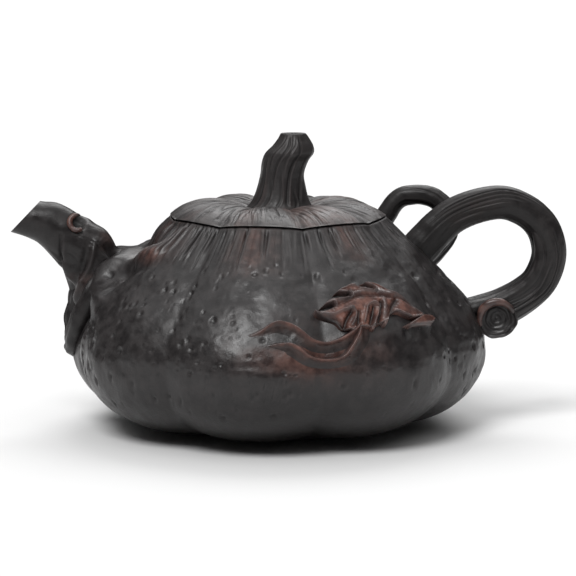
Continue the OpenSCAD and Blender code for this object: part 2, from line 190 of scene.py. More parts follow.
# Clay finishes
# Colours are linear; shine is the specular level; sizes of the noise are per metre
clay = dict(
    body=(0.0145, 0.0126, 0.0128),
    bodyLight=(0.028, 0.0245, 0.0245),
    lid=(0.030, 0.027, 0.027),
    lidLight=(0.075, 0.068, 0.067),
    slip=(0.075, 0.026, 0.018),
    slipLight=(0.165, 0.072, 0.053),
    # colour of the painted shade in hollows, creases, undersides and toward the base
    hollow=(0.006, 0.005, 0.005),
    # how much lighter than the light tone the wear and painted highlights are
    wearAndHighlightGain=2.8,
    gloss=0.33,
    lidGloss=0.39,
    shine=0.44,
    vineShine=0.3,
    grain=0.00005,
    cloudScale=55,
    mottleScale=320,
    speckScale=1700,
    lumpScale=700,
    grainScale=2600,
)
def clayFinish(name, dark, light, roughness, shine):
    finish = bpy.data.materials.new(name)
    finish.use_nodes = True
    nodes, links = finish.node_tree.nodes, finish.node_tree.links
    shader = nodes["Principled BSDF"]
    shader.inputs["Specular IOR Level"].default_value = shine
    place = nodes.new("ShaderNodeTexCoord")

    def noise(scale, detail, rough=0.55):
        node = nodes.new("ShaderNodeTexNoise")
        node.inputs["Scale"].default_value = scale
        node.inputs["Detail"].default_value = detail
        node.inputs["Roughness"].default_value = rough
        links.new(place.outputs["Object"], node.inputs["Vector"])
        return node.outputs["Fac"]

    def spread(value, low, high, outLow=0.0, outHigh=1.0):
        node = nodes.new("ShaderNodeMapRange")
        node.interpolation_type = "SMOOTHSTEP"
        node.inputs["From Min"].default_value = low
        node.inputs["From Max"].default_value = high
        node.inputs["To Min"].default_value = outLow
        node.inputs["To Max"].default_value = outHigh
        links.new(value, node.inputs["Value"])
        return node.outputs["Result"]

    def mix(share, a, b):
        node = nodes.new("ShaderNodeMix")
        node.data_type = "RGBA"
        for socket, given in ((0, share), (6, a), (7, b)):
            if isinstance(given, (tuple, float)):
                node.inputs[socket].default_value = given + (1,) if isinstance(given, tuple) else given
            else:
                links.new(given, node.inputs[socket])
        return node.outputs[2]

    def times(a, b, how="MULTIPLY"):
        node = nodes.new("ShaderNodeMath")
        node.operation = how
        for socket, given in zip(node.inputs, (a, b)):
            if isinstance(given, float):
                socket.default_value = given
            else:
                links.new(given, socket)
        return node.outputs[0]

    def painted(word):
        node = nodes.new("ShaderNodeAttribute")
        node.attribute_name = word
        return node.outputs["Fac"]

    cloud, mottle = noise(clay["cloudScale"], 4), noise(clay["mottleScale"], 5)
    speck = noise(clay["speckScale"], 3)
    tone = mix(spread(mottle, 0.36, 0.68), dark, light)
    tone = mix(spread(cloud, 0.4, 0.75, 0.0, 0.45), tone, tuple(0.55 * c for c in dark))
    tone = mix(spread(speck, 0.6, 0.75, 0.0, 0.35), tone, tuple(1.5 * c for c in light))
    slipShare = times(painted("slip"), spread(mottle, 0.25, 0.62, 0.55, 1.0))
    slipTone = mix(spread(mottle, 0.4, 0.7), clay["slip"], clay["slipLight"])
    tone = mix(slipShare, tone, slipTone)
    # lighter paint on ridges, rims and lit sides: partly wear, partly painted highlight
    tone = mix(painted("wearAndHighlight"), tone, tuple(min(clay["wearAndHighlightGain"] * c, 1) for c in light))
    # painted shade: the tone darkens where shade is painted
    tone = mix(painted("hollow"), tone, clay["hollow"])
    links.new(tone, shader.inputs["Base Color"])
    rough = spread(mottle, 0.3, 0.7, roughness - 0.06, roughness + 0.09)
    rough = times(rough, times(painted("hollow"), 0.15), "ADD")
    links.new(rough, shader.inputs["Roughness"])
    bump = nodes.new("ShaderNodeBump")
    bump.inputs["Strength"].default_value = 1.0
    bump.inputs["Distance"].default_value = clay["grain"]
    heights = times(noise(clay["grainScale"], 4, 0.6), times(noise(clay["lumpScale"], 3), 1.6), "ADD")
    links.new(heights, bump.inputs["Height"])
    links.new(bump.outputs["Normal"], shader.inputs["Normal"])
    return finish


darkClay = clayFinish("darkClay", clay["body"], clay["bodyLight"], clay["gloss"], clay["shine"])
vineClay = clayFinish("vineClay", clay["body"], clay["bodyLight"], clay["gloss"], clay["vineShine"])
lidClay = clayFinish("lidClay", clay["lid"], clay["lidLight"], clay["lidGloss"], clay["shine"])
stemClay = clayFinish("stemClay", clay["lid"], clay["bodyLight"], clay["lidGloss"], clay["vineShine"])
for nodeName in ("base_disc", "foot_ring", "mouth_ring", "strainer_dome", "lid_flange"):
    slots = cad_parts[nodeName].data.materials
    slots.clear()
    slots.append(darkClay)
print("finishes made")

# Pot: the lobed skin, measured from the CAD wall
wallPoints = nodePoints("pot_wall")
wallRadii = np.hypot(wallPoints[:, 0], wallPoints[:, 1])
bellyRadius = wallRadii.max()
bellyHeight = wallPoints[wallRadii.argmax(), 2]
rimHeight, footHeight = wallPoints[:, 2].max(), wallPoints[:, 2].min()
rimRadius = wallRadii[wallPoints[:, 2] > rimHeight - 0.01].max()
baseRadius = wallRadii[wallPoints[:, 2] < footHeight + 0.01].max()

# az is a direction in degrees, s runs from the base 0 over the belly 0.5 to the mouth 1, depths are in mm
pot = dict(
    lobes=8,
    valleyAt=-77,
    valleyBelly=3.2,
    valleyEdge=1.5,
    valleySoft=0.003,
    baseReach=15,
    bellyDrop=16.6,
    bellyRise=12.8,
    shoulderReach=9.6,
    shoulderDrop=10.1,
    wall=3.2,
    rimBevel=[(0.3, 0.02), (0.9, 0.35)],
    columns=880,
    lowRows=36,
    highRows=92,
    fibreFrom=0.8,
    fibreDepth=0.26,
    leftShoulder=-154,
    leftMore=1.3,
    cutCount=120,
    cutDepth=0.5,
    deepCuts=9,
    dentDepth=0.6,
    pitCount=640,
    pitSmall=0.36,
    pitLarge=1.0,
    lowPits=30,
    redPatches=[(-155, 12, 2, 1.7, 0.82, 0.88), (-101, 11, 4, 0.7, 0.8, 0.9), (-55, 8, 2, 0.6, 0.83, 0.93)],
    portAz=179.5,
    portHalf=4.5,
    portLow=0.65,
    portHigh=0.75,
)
spoutAz, spoutS = 180, 0.715
lowCurve = np.array([[baseRadius, footHeight], [baseRadius + pot["baseReach"], footHeight],
                     [bellyRadius, bellyHeight - pot["bellyDrop"]], [bellyRadius, bellyHeight]])
highCurve = np.array([[bellyRadius, bellyHeight], [bellyRadius, bellyHeight + pot["bellyRise"]],
                      [rimRadius + pot["shoulderReach"], rimHeight - pot["shoulderDrop"]],
                      [rimRadius, rimHeight]])
def cubic(p, t):
    t = t[..., None]
    return (1 - t)**3 * p[0] + 3 * (1 - t)**2 * t * p[1] + 3 * (1 - t) * t**2 * p[2] + t**3 * p[3]


def cubicDirection(p, t):
    t = t[..., None]
    return unit((1 - t)**2 * (p[1] - p[0]) + 2 * (1 - t) * t * (p[2] - p[1]) + t**2 * (p[3] - p[2]))


def outline(s):
    s = np.asarray(s, float)
    low = (s < 0.5)[..., None]
    lowT, highT = np.clip(2 * s, 0, 1), np.clip(2 * s - 1, 0, 1)
    place = np.where(low, cubic(lowCurve, lowT), cubic(highCurve, highT))
    way = np.where(low, cubicDirection(lowCurve, lowT), cubicDirection(highCurve, highT))
    return place, np.stack([way[..., 1], -way[..., 0]], -1)


def swell(az, s=0.5):
    power = 0.86 - 0.26 * smooth(s, 0.25, 0.95)
    wave = np.sin(np.radians(pot["lobes"] * (az - pot["valleyAt"]) / 2))
    return ((wave**2 + pot["valleySoft"]) / (1 + pot["valleySoft"]))**(power / 2)


def onPot(az, s, lift=0.0):
    # a point of the lobed skin: az is the direction, s runs from the base 0 to the mouth 1
    az, s = np.broadcast_arrays(np.asarray(az, float), np.asarray(s, float))
    place, out = outline(s)
    valley = pot["valleyEdge"] + (pot["valleyBelly"] - pot["valleyEdge"]) * (1 - np.abs(2 * s - 1))
    flat = place + (lift - valley * (1 - swell(az, s)))[..., None] * out
    return ringPoint(flat[..., 0], np.radians(az), flat[..., 1])


def potOutward(az, s):
    out = outline(s)[1]
    return ringPoint(out[..., 0], math.radians(az), out[..., 1])


def apart(az, centre):
    return (az - centre + 180) % 360 - 180


# Leaf and tendrils are laid out on a flat pattern: a runs to the right and b up, in mm from the leaf's middle
leafAz, leafS = -61, 0.715
mmPerDegree, mmPerS = 0.898, 102.4


def fromPattern(a, b):
    return leafAz + a / mmPerDegree, leafS + b / mmPerS


def toPattern(az, s):
    return apart(az, leafAz) * mmPerDegree, (s - leafS) * mmPerS


tendrils = dict(
    upperLine=[[-36, -8], [-31.5, -7], [-27, -4], [-24, -3.8], [-21, -5.2], [-17, -9], [-13.5, -9.8],
               [-10, -9], [-6.5, -7], [-4.5, -5]],
    lowerLine=[[-30.5, -11.6], [-27, -10.6], [-23.5, -10.3], [-21, -11.6], [-17.5, -14.8], [-13.5, -15.7],
               [-10, -14.8], [-7.6, -11.5], [-5.6, -8.2], [-4.4, -5.5]],
    height=2.1,
    steep=0.6,
    gentle=2.9,
)
# Webs and hollows round the foot of the spout: points [to the front, up] in mm from its middle,
# then radius, height, how much painted shade and how much painted highlight
footStrokes = [
    ([[8, 6], [13, 11], [19, 15], [25, 17]], 3.2, 1.4, 0.0, 0.1),
    ([[6, 3], [11, 0], [16, -2]], 4.6, 3.4, 0.2, 0.0),
    ([[9, -3], [11, -6], [13, -10]], 1.6, -2.4, 0.85, 0.0),
    ([[12, -12], [12, -20], [11, -28]], 1.8, -0.8, 0.6, 0.0),
    ([[16, 8], [21, 9], [26, 11]], 2.0, -0.9, 0.25, 0.0),
    ([[-8, 6], [-13, 10], [-19, 13]], 3.0, 1.3, 0.0, 0.1),
    ([[-14, 17.5], [0, 17], [14, 17.5]], 3.2, -1.8, 0.0, 0.0),
    ([[-8, 9.5], [8, 9.5]], 3.0, 1.8, 0.0, 0.0),
]
leafMiddle = np.array([[-14, 0], [-7, 2], [0, 2], [7, 1], [14, -4]], float)
fibreSeed, dentSeed, pitSeed, cutSeed, redSeed = 11, 23, 5, 37, 71

# Thin cuts that run down from the mouth: direction, lower end, width, depth, lean
cutRandom = np.random.default_rng(cutSeed)
cutList = []
for k in range(pot["cutCount"]):
    cutAz = cutRandom.uniform(-180, 180) if k % 6 else cutRandom.normal(pot["leftShoulder"], 6)
    cutList.append((cutAz, cutRandom.uniform(0.82, 0.93), cutRandom.uniform(0.22, 0.5),
                    pot["cutDepth"] * cutRandom.uniform(0.3, 1.2), cutRandom.uniform(-9, 9)))
for k in range(pot["deepCuts"]):
    cutAz = pot["leftShoulder"] - 14 + 3.2 * k
    cutList.append((cutAz + cutRandom.uniform(-0.5, 0.5), cutRandom.uniform(0.8, 0.86), 0.7,
                    cutRandom.uniform(0.8, 1.3), -8))

# Drops pressed into the lobes: direction, s, radius, depth, how much taller than wide
pitRandom = np.random.default_rng(pitSeed)
pitList = []
while len(pitList) < pot["pitCount"]:
    az, s = pitRandom.uniform(-180, 180), pitRandom.uniform(0.24, 0.9)
    size = pot["pitSmall"] + (pot["pitLarge"] - pot["pitSmall"]) * pitRandom.random()**2.6
    chance = between(s, 0.26, 0.5, 0.76, 0.9) * (0.65 + 0.35 * math.sin(math.radians(az * 3 + 40)))
    a, b = toPattern(az, s)
    if abs(a + 8) < 26 and -19 < b < 9:
        chance *= 0.12  # few drops beside the leaf and the tendrils
    if pitRandom.random() < chance:
        stretch = 1 + 0.8 * math.exp(-(apart(az, -156) / 16)**2)
        pitList.append((az, s, size, pitRandom.uniform(0.5, 1.0), stretch * pitRandom.uniform(0.7, 1.5)))
for k in range(pot["lowPits"]):
    # deep drops low on the lobes at the left and right
    az = pitRandom.uniform(-166, -142) if k % 5 < 3 else pitRandom.uniform(-34, -6)
    pitList.append((az, pitRandom.uniform(0.34, 0.62), pitRandom.uniform(0.45, 0.75), 1.0,
                    pitRandom.uniform(1.4, 2.2)))


def cutRelief(az, s, radius):
    # lift, painted shade in the grooves and painted highlight on the ridges of the thin cuts
    lift, dark, light = np.zeros((3,) + az.shape)
    for cutAz, low, width, deep, lean in cutList:
        across = np.radians(apart(az, cutAz + lean * (1 - s))) * radius / width
        near = np.nonzero((np.abs(across) < 4) & (s > low))
        if len(near[0]):
            fadeIn = smooth(s[near], low, low + 0.06)
            groove, ridge = bell(across[near]), bell(across[near] - 1.7, 0.8)
            lift[near] += deep * fadeIn * (0.5 * ridge - groove)
            dark[near] = np.maximum(dark[near], min(2.8 * deep, 0.95) * fadeIn * groove)
            light[near] = np.maximum(light[near], min(1.4 * deep, 0.6) * fadeIn * ridge)
    return lift, dark, light


def footRelief(az, s):
    # lift, painted shade and painted highlight of the swelling that the spout stands on
    ring = np.hypot(apart(az, spoutAz) / 11, (s - spoutS) / 0.115)
    lift = 1.9 * bell(np.maximum(ring, 1) - 1, 0.4)
    place = np.stack([apart(az, spoutAz) * 0.85, (s - spoutS) * 100], -1)
    dark, light = np.zeros((2,) + az.shape)
    for line, width, height, darker, lighter in footStrokes:
        stroke = bell(alongPath(place, np.array(line, float))[0], width)
        lift = lift + height * stroke
        dark, light = np.maximum(dark, darker * stroke), np.maximum(light, lighter * stroke)
    return lift, dark, light


def pitRelief(az, s, radius):
    # lift of the drops, painted shade inside them and a painted glint on their lower rims
    lift, dark, light = np.zeros((3,) + az.shape)
    for pitAz, pitS, size, deep, tall in pitList:
        near = np.nonzero((np.abs(s - pitS) < 0.045) & (np.abs(apart(az, pitAz)) < 4))
        if len(near[0]):
            across = np.radians(apart(az[near], pitAz)) * radius[near]
            up = (s[near] - pitS) * 100 / tall
            d = np.hypot(across, up) / size
            edge = bell(d - 1.45, 0.4)
            lift[near] += size * deep * (-0.8 * bell(d, 1, 3) + 0.07 * edge)
            dark[near] = np.maximum(dark[near], 0.85 * deep * np.exp(-(1.1 * d)**4))
            light[near] = np.maximum(light[near], 0.18 * deep * edge * (up < 0))
    return lift, dark, light


def potRelief(az, s):
    # lift of the modelled surface over the plain lobed skin, and its paint
    radius = outline(s)[0][..., 0]
    spread = ringPoint(60, np.radians(az), s * 9)
    start = pot["fibreFrom"] + 0.05 * clayNoise(spread, 7, fibreSeed)
    fade = smooth(s, start, start + 0.12)
    shoulder = 1 + pot["leftMore"] * bell(apart(az, pot["leftShoulder"]), 12)
    one, two = clayNoise(spread, 4.4, fibreSeed + 1), clayNoise(spread, 2.0, fibreSeed + 2)
    three = clayNoise(spread * [1, 1, 0.4], 5.5, fibreSeed + 3)
    grooves = furrows(one, 2.6) + 0.55 * furrows(two, 2.4)
    p = onPot(az, s)
    mid = between(s, 0.3, 0.5, 0.82, 0.95)
    dents = 0.75 * clayNoise(p, 9, dentSeed) + 0.5 * clayNoise(p, 4.6, dentSeed + 1)
    cutLift, cutShade, cutHighlight = cutRelief(az, s, radius)
    footLift, footShade, footHighlight = footRelief(az, s)
    pitLift, pitShade, pitHighlight = pitRelief(az, s, radius)
    lift = fade * pot["fibreDepth"] * shoulder * (0.4 * three + 0.35 * one - 0.7 * grooves)
    lift = lift + pot["dentDepth"] * (0.3 + 0.7 * mid) * dents
    lift = lift + (0.03 + 0.05 * mid) * clayNoise(p, 1.4, dentSeed + 2)
    lift = lift + cutLift + footLift + pitLift

    # calm clay round the leaf, and a cleft under its stalk
    a, b = toPattern(az, s)
    calm = bell(alongPath(np.stack([a, b], -1), leafMiddle)[0], 8, 4)
    cleft = bell(a - 8.3 - 0.12 * (b + 8), 0.9) * smooth(-b, 7.4, 8.2) * (1 - smooth(-b, 9.5, 12.5))
    lift = lift * (1 - 0.75 * calm) * (1 - 0.85 * smooth(s, 0.97, 0.997)) - 0.5 * cleft

    # painted shade toward the base, in the hollows and above the tendrils
    hollow = 0.1 + 0.55 * (1 - smooth(s, 0.1, 0.56)) + 0.2 * smooth(s, 0.78, 0.9)
    hollow = np.maximum.reduce([hollow, footShade, pitShade]) * (1 - calm)
    grooveShade = 0.14 * fade * np.clip(grooves, 0, 1) * np.minimum(shoulder, 1.6)
    leafShade = 0.6 * bell(a + 14, 6.5) * bell(b + 6.5, 4.5)
    hollow = np.maximum.reduce([hollow, grooveShade, cutShade, leafShade, 0.9 * cleft])

    # red slip on the shoulder and under the tendrils: direction, width, power, strength, from s, to s
    red = 0.4 * smooth(clayNoise(spread, 16, redSeed), 0.2, 0.8) * smooth(s, 0.8, 0.9)
    for at, width, power, strength, low, high in pot["redPatches"]:
        red = red + strength * bell(apart(az, at), width, power) * smooth(s, low, high)
    red = red * np.clip(0.5 + 0.4 * three + 0.5 * cutShade - 0.7 * cutHighlight, 0, 1)
    under = bell(a + 17, 13) * bell(b + 14, 7.5)
    red = np.clip(red + 0.75 * under * smooth(clayNoise(p, 7, redSeed + 1), -0.7, 0.4), 0, 0.85)

    # light paint on ridges: partly wear, partly painted highlight, with painted glints mottling the middle
    # band
    wearAndHighlight = 0.1 * fade * np.clip(three + one - grooves, 0, 1)
    wearAndHighlight = wearAndHighlight + 0.08 * mid * smooth(clayNoise(p, 5, redSeed + 2), 0.1, 0.9)
    wearAndHighlight = np.maximum.reduce([wearAndHighlight, cutHighlight * np.minimum(shoulder, 1.5), footHighlight, pitHighlight])
    return lift, dict(slip=red, hollow=hollow, wearAndHighlight=wearAndHighlight)


def makePot():
    turns = pot["valleyAt"] + 360 * np.arange(pot["columns"]) / pot["columns"]
    lowS = 0.5 * np.linspace(0, 1, pot["lowRows"], endpoint=False)**0.85
    outer = np.concatenate([lowS, np.linspace(0.5, 1, pot["highRows"] + 1)])
    portFrom = int(np.argmin(np.abs(outer - pot["portLow"])))
    portTo = int(np.argmin(np.abs(outer - pot["portHigh"])))
    aboveS, belowS = [1, 0.95, 0.9, 0.84], [0.55, 0.42, 0.3, 0.2, 0.1, 0]
    innerS = np.concatenate([aboveS, outer[portFrom:portTo + 1][::-1], belowS])
    az, s = np.meshgrid(turns, outer)
    lift, paint = potRelief(az, s)
    skin = onPot(az, s, lift)
    skin[..., 2] = np.maximum(skin[..., 2], footHeight - 0.6)
    bevel = [onPot(turns, 1.0, lift[-1] * 0.6 - inward) - [0, 0, down] for inward, down in pot["rimBevel"]]
    inside = [onPot(turns, q, -pot["wall"] + 0.12 * clayNoise(onPot(turns, q), 6, 31)) for q in innerS]
    rings = np.concatenate([skin, bevel, inside])
    rows, columns = rings.shape[:2]
    edgeRow, insideRow = len(outer), len(outer) + len(bevel) + len(aboveS)
    # light paint along the mouth's outer edge, wear and painted highlight
    paint["wearAndHighlight"][-2:] = 0.35
    paint = padded(paint, 0, rows - edgeRow)
    # painted shade just inside the mouth
    paint["hollow"][edgeRow + 1:edgeRow + 5] = 1

    # leave the port open in both skins, and join their edges
    quads = bandFaces(rows, columns, True)
    portAz = np.abs(apart(turns + 180 / columns, pot["portAz"])) < pot["portHalf"]
    row, column = quads[:, 0] // columns, quads[:, 0] % columns
    tall = portTo - portFrom
    inPort = ((row >= portFrom) & (row < portTo)) | ((row >= insideRow) & (row < insideRow + tall))
    quads = quads[~(inPort & portAz[column])].tolist()
    first, last = np.nonzero(portAz)[0][0], np.nonzero(portAz)[0][-1] + 1
    loop = [(portFrom, j) for j in range(first, last)]
    loop += [(i, last) for i in range(portFrom, portTo)]
    loop += [(portTo, j) for j in range(last, first, -1)]
    loop += [(i, first) for i in range(portTo, portFrom, -1)]
    outSide = [i * columns + j for i, j in loop]
    inSide = [(insideRow + portTo - i) * columns + j for i, j in loop]
    for k in range(len(loop)):
        n = (k + 1) % len(loop)
        quads.append([outSide[k], outSide[n], inSide[n], inSide[k]])
    makePiece("potWall", "pot", "pot_wall", darkClay, rings, quads, paint)


makePot()
print("pot made")
def limbPiece(name, node, finish, path, radii, hint, steps, sides, relief, flat=1.0, ends=(0, 0)):
    # a limb swept along a smooth path; hint is the way that turn 0 faces, ends are the rounded shares
    t = np.linspace(0, 1, steps)
    centre = through(path, t)
    way = unit(through(path, np.minimum(t + 0.01, 1)) - through(path, np.maximum(t - 0.01, 0)))
    hints = through(hint, t) if np.ndim(hint) > 1 else np.array(hint, float)
    out = unit(hints - np.sum(hints * way, -1, keepdims=True) * way)
    across = np.cross(way, out)
    turn = np.linspace(0, 360, sides, endpoint=False)
    tt, uu = np.meshgrid(t, turn, indexing="ij")
    radius = through(radii, t)[:, None] * np.ones_like(uu)
    for end, length in zip((0, 1), ends):
        if length:
            reach = np.abs(tt - end) / length
            radius = radius * np.sqrt(np.clip(1 - (1 - np.minimum(reach, 1))**2, 0.0004, 1))
    c, s = np.cos(np.radians(uu))[..., None], np.sin(np.radians(uu))[..., None]
    grid = centre[:, None] + radius[..., None] * (flat * c * out[:, None] + s * across[:, None])
    lift, paint = relief(tt, uu, grid)
    grid = grid + lift[..., None] * gridNormals(grid)
    bare = dict(slip=np.zeros_like(uu), hollow=np.zeros_like(uu), wearAndHighlight=np.zeros_like(uu))
    closedPiece(name, "pot", node, finish, grid, {**bare, **paint})


def flowLines(tt, uu, lines):
    # long grooves: from t, to t, turn at the start, turn at the end, width in degrees, depth in mm;
    # t runs along the limb from 0 to 1, and turn goes round it
    lift, wearAndHighlight, dark = np.zeros_like(tt), np.zeros_like(tt), np.zeros_like(tt)
    for start, stop, turnA, turnB, width, depth in lines:
        share = np.clip((tt - start) / (stop - start), 0, 1)
        line = turnA + (turnB - turnA) * share + 4 * np.sin(7 * share + turnA)
        fade = between(tt, start, start + 0.12, stop - 0.14, stop)
        off = apart(uu, line) / width
        lift += fade * depth * (-bell(off) + 0.55 * bell(off - 1.5, 0.7))
        # wear with painted highlight on the lip beside each groove, painted shade in the groove
        wearAndHighlight += fade * min(1.4 * depth, 0.5) * bell(off - 1.4, 0.5)
        dark = np.maximum(dark, fade * min(2.2 * depth, 0.85) * np.exp(-(1.1 * off)**2))
    return lift, np.clip(wearAndHighlight, 0, 0.6), dark


# Handle
handle = dict(
    radius=4.9,
    reach=18.1,
    line=[[-0.55, 0.99], [0.12, 1.1], [0.56, 1.05], [0.87, 0.92], [1, 0.73], [0.92, 0.55], [0.71, 0.415],
          [0.27, 0.28]],
    frontLines=[
        (0.02, 0.41, -38, -60, 4, 0.4), (0.05, 0.37, -26, -44, 3.5, 0.3), (0.02, 0.34, -8, -30, 4, 0.42),
        (0.08, 0.31, 4, -14, 3, 0.24), (0.02, 0.28, 22, 4, 5, 0.3), (0.05, 0.22, 46, 30, 4, 0.2),
        (0.46, 0.97, -30, -24, 3.5, 0.36), (0.5, 0.9, -44, -36, 3, 0.22), (0.55, 0.98, -60, -46, 4, 0.3),
        (0.56, 0.99, -12, -8, 4, 0.34), (0.66, 0.97, 2, 8, 3, 0.2), (0.40, 0.86, -78, -70, 4, 0.22),
    ],
    hiddenLines=14,
    seed=41,
    radii=[1.1, 1.04, 1, 0.96, 0.98, 1, 1.04, 1.06, 1.12, 1.12],
)


def handlePoint(q, inset=0.0, y=0.0):
    # a point of the handle's line, moved in toward the middle of the loop
    middle = np.array([0.25 - q[0], 0, 0.72 - q[1]])
    height = bellyHeight + (rimHeight - bellyHeight) * q[1]
    return np.array([bellyRadius + handle["reach"] * q[0], y, height]) + inset * unit(middle)


def handleRelief(tt, uu, grid):
    random = np.random.default_rng(handle["seed"])
    lines = list(handle["frontLines"])
    for k in range(handle["hiddenLines"]):
        start, turn = random.uniform(0, 0.7), random.uniform(80, 280)
        stop, turned = min(start + random.uniform(0.25, 0.5), 1.0), turn + random.uniform(-16, 16)
        lines.append((start, stop, turn, turned, random.uniform(3, 6), random.uniform(0.12, 0.34)))
    lift, wearAndHighlight, dark = flowLines(tt, uu, lines)
    turn = np.radians(uu)
    flowing = ringPoint(6, turn, tt * 9)
    lift += 0.16 * clayNoise(flowing, 2.4, 43) + 0.06 * clayNoise(flowing * [1, 1, 0.6], 1.0, 44)
    facet = bell(apart(uu, 74), 32, 4) * between(tt, 0.42, 0.56, 0.84, 0.95)
    edge = bell(apart(uu, 38), 6) * between(tt, 0.45, 0.6, 0.86, 0.96)
    lift += 0.12 * facet + 0.25 * edge
    root = (1 - smooth(tt, 0.0, 0.12)) + smooth(tt, 0.93, 1.0)
    lift += 0.35 * root * clayNoise(grid, 3.5, 45)
    slip = 0.4 * bell(tt - 0.15, 0.06) * smooth(np.cos(np.radians(uu - 40)), 0, 1)
    # painted shade on the inner side of the loop, painted shadow by the upper root, darker paint on the flat
    # face, and 0.22 of painted shade everywhere
    inside = smooth(np.sin(turn), -0.3, 0.8) * (1 - smooth(tt, 0.7, 0.95))
    shadow = 1 - smooth(tt, 0.11, 0.3)
    hollow = 0.22 + 0.4 * inside + 0.75 * shadow * smooth(np.cos(turn - 0.5), -0.3, 0.9) + 0.6 * facet
    # a painted highlight along the edge, dimmed where the painted shadow falls
    wearAndHighlight = np.maximum(wearAndHighlight, 0.45 * edge) * (1 - 0.6 * shadow)
    return lift, dict(wearAndHighlight=wearAndHighlight, slip=slip, hollow=np.clip(np.maximum(hollow, dark), 0, 0.9))


handlePath = [onPot(0, 0.86, -1.6)] + [handlePoint(q) for q in handle["line"]] + [onPot(0, 0.61, -1.6)]
limbPiece("handleVine", "handle_vine", vineClay, handlePath,
          handle["radius"] * np.array(handle["radii"]), [0, -1, 0], 430, 168, handleRelief, flat=0.9)

# Thin strand along the lower inside of the handle, as shares of the handle's radius
strand = dict(inset=0.5, front=0.55, radii=[0.16, 0.42, 0.48, 0.5, 0.5, 0.5])


def strandRelief(tt, uu, grid):
    lift, wearAndHighlight, dark = flowLines(tt, uu, [(0.1, 0.95, -30, -20, 9, 0.2), (0.2, 0.98, 40, 30, 8, 0.18)])
    # painted shade in the grooves, and at least 0.3 of it over the whole strand
    return lift + 0.12 * clayNoise(grid, 2.2, 47), dict(wearAndHighlight=wearAndHighlight, hollow=np.maximum(dark, 0.3))


strandIn, strandY = strand["inset"] * handle["radius"], -strand["front"] * handle["radius"]
strandPath = [handlePoint(q, strandIn, strandY) for q in handle["line"][3:]] + [onPot(-5, 0.64, -1.6)]
limbPiece("handleStrand", "handle_strand", vineClay, strandPath,
          handle["radius"] * np.array(strand["radii"]), [0, -1, 0], 220, 56, strandRelief, ends=(0.05, 0))

# Small vine loop beside the handle: crest points in mm from the rim's edge
sideVine = dict(
    radius=2.9,
    radii=[1.15, 1.08, 1, 1, 1, 1, 1, 1.05],
    crest=[[16.7, 13, -9.7], [18.9, 13.5, -5], [18.2, 14, -0.2], [14.5, 14.5, 3.4], [9.2, 15, 4.4],
           [3.9, 15.5, 2.8]],
)


def sideVineRelief(tt, uu, grid):
    lines = [(0.02, 0.98, -150, -40, 8, 0.34), (0.05, 0.9, 20, 60, 9, 0.22), (0.1, 0.95, 120, 160, 9, 0.26),
             (0.1, 0.9, 170, 240, 7, 0.24)]
    lift, wearAndHighlight, dark = flowLines(tt, uu, lines)
    # painted shade in the grooves, and at least 0.45 of it over the whole loop
    return lift + 0.1 * clayNoise(grid, 2.4, 49), dict(wearAndHighlight=wearAndHighlight, hollow=np.maximum(dark, 0.45))


vinePath = [onPot(16, 0.8, -1.6)] + [np.array([rimRadius, 0, rimHeight]) + c for c in sideVine["crest"]]
vinePath += [onPot(27, 0.945, -1.6)]
limbPiece("sideVine", "side_vine", vineClay, vinePath,
          sideVine["radius"] * np.array(sideVine["radii"]), [0, 1, 0], 260, 72, sideVineRelief)

# Cut branch under the handle
stubLow, stubHigh = nodeBox("branch_stub")
stubMiddle, stubRadius = (stubLow + stubHigh) / 2, (stubHigh[0] - stubLow[0]) / 2
stub = dict(
    rings=4,
    ringDepth=0.16,
    faceRows=34,
    sides=120,
    lipInset=0.75,
    lipFrom=-20,
    lipTo=-205,
    lipRadii=[0.5, 0.8, 1.0, 1.15, 1.2, 1.1, 0.8, 0.5],
)


def makeStub():
    radius, sides, faceRows = stubRadius, stub["sides"], stub["faceRows"]
    front, back = stubLow[1], stubHigh[1]
    f = np.linspace(0.02, 0.86, faceRows)
    sink = 1.1 - 0.5 * smooth(f, 0.55, 1) - stub["ringDepth"] * np.cos(2 * math.pi * stub["rings"] * f)
    face = list(zip(radius * f, front + sink))
    side = [(radius * 0.9, front + 0.35), (radius * 0.95, front + 0.05), (radius * 0.99, front + 0.1),
            (radius, front + 0.5)]
    length = back - front - 0.5
    side += [(radius * (1 - 0.1 * k), front + 0.5 + length * k) for k in np.linspace(0.06, 1, 24)]
    turn = np.linspace(0, 2 * math.pi, sides, endpoint=False)
    wave = 1 + 0.03 * np.sin(3 * turn + 1) + 0.02 * np.sin(7 * turn)
    rings = np.array([np.stack([stubMiddle[0] + r * wave * np.cos(turn), np.full(sides, y),
                                stubMiddle[2] - r * wave * np.sin(turn)], -1) for r, y in face + side])
    rings = rings + 0.22 * clayNoise(rings, 2.2, 51)[..., None] * gridNormals(rings)
    # painted shade, darkest in the middle of the sunken cut face and fading to its edge
    depth = smooth(np.arange(len(rings)) / faceRows, 1.02, 0.2)[:, None] * np.ones(sides)
    paint = dict(hollow=0.62 * depth, slip=0 * depth, wearAndHighlight=0 * depth)
    closedPiece("branchStub", "pot", "branch_stub", darkClay, rings, paint)


makeStub()


def makeLip(name, node, path, radii, seed, red):
    # a rolled lip of red clay round a cut end or a knot hole
    def relief(tt, uu, grid):
        lift = 0.16 * clayNoise(grid, 1.6, seed)
        # a painted highlight along the side of the lip that faces out to the front
        wearAndHighlight = 0.3 * smooth(np.cos(np.radians(uu)), 0.5, 1)
        return lift, dict(slip=red * smooth(tt, -0.1, 0.35), wearAndHighlight=wearAndHighlight)
    limbPiece(name, node, darkClay, path, radii, [0, -1, 0.2], 170, 48, relief,
              ends=(0.06, 0.06))


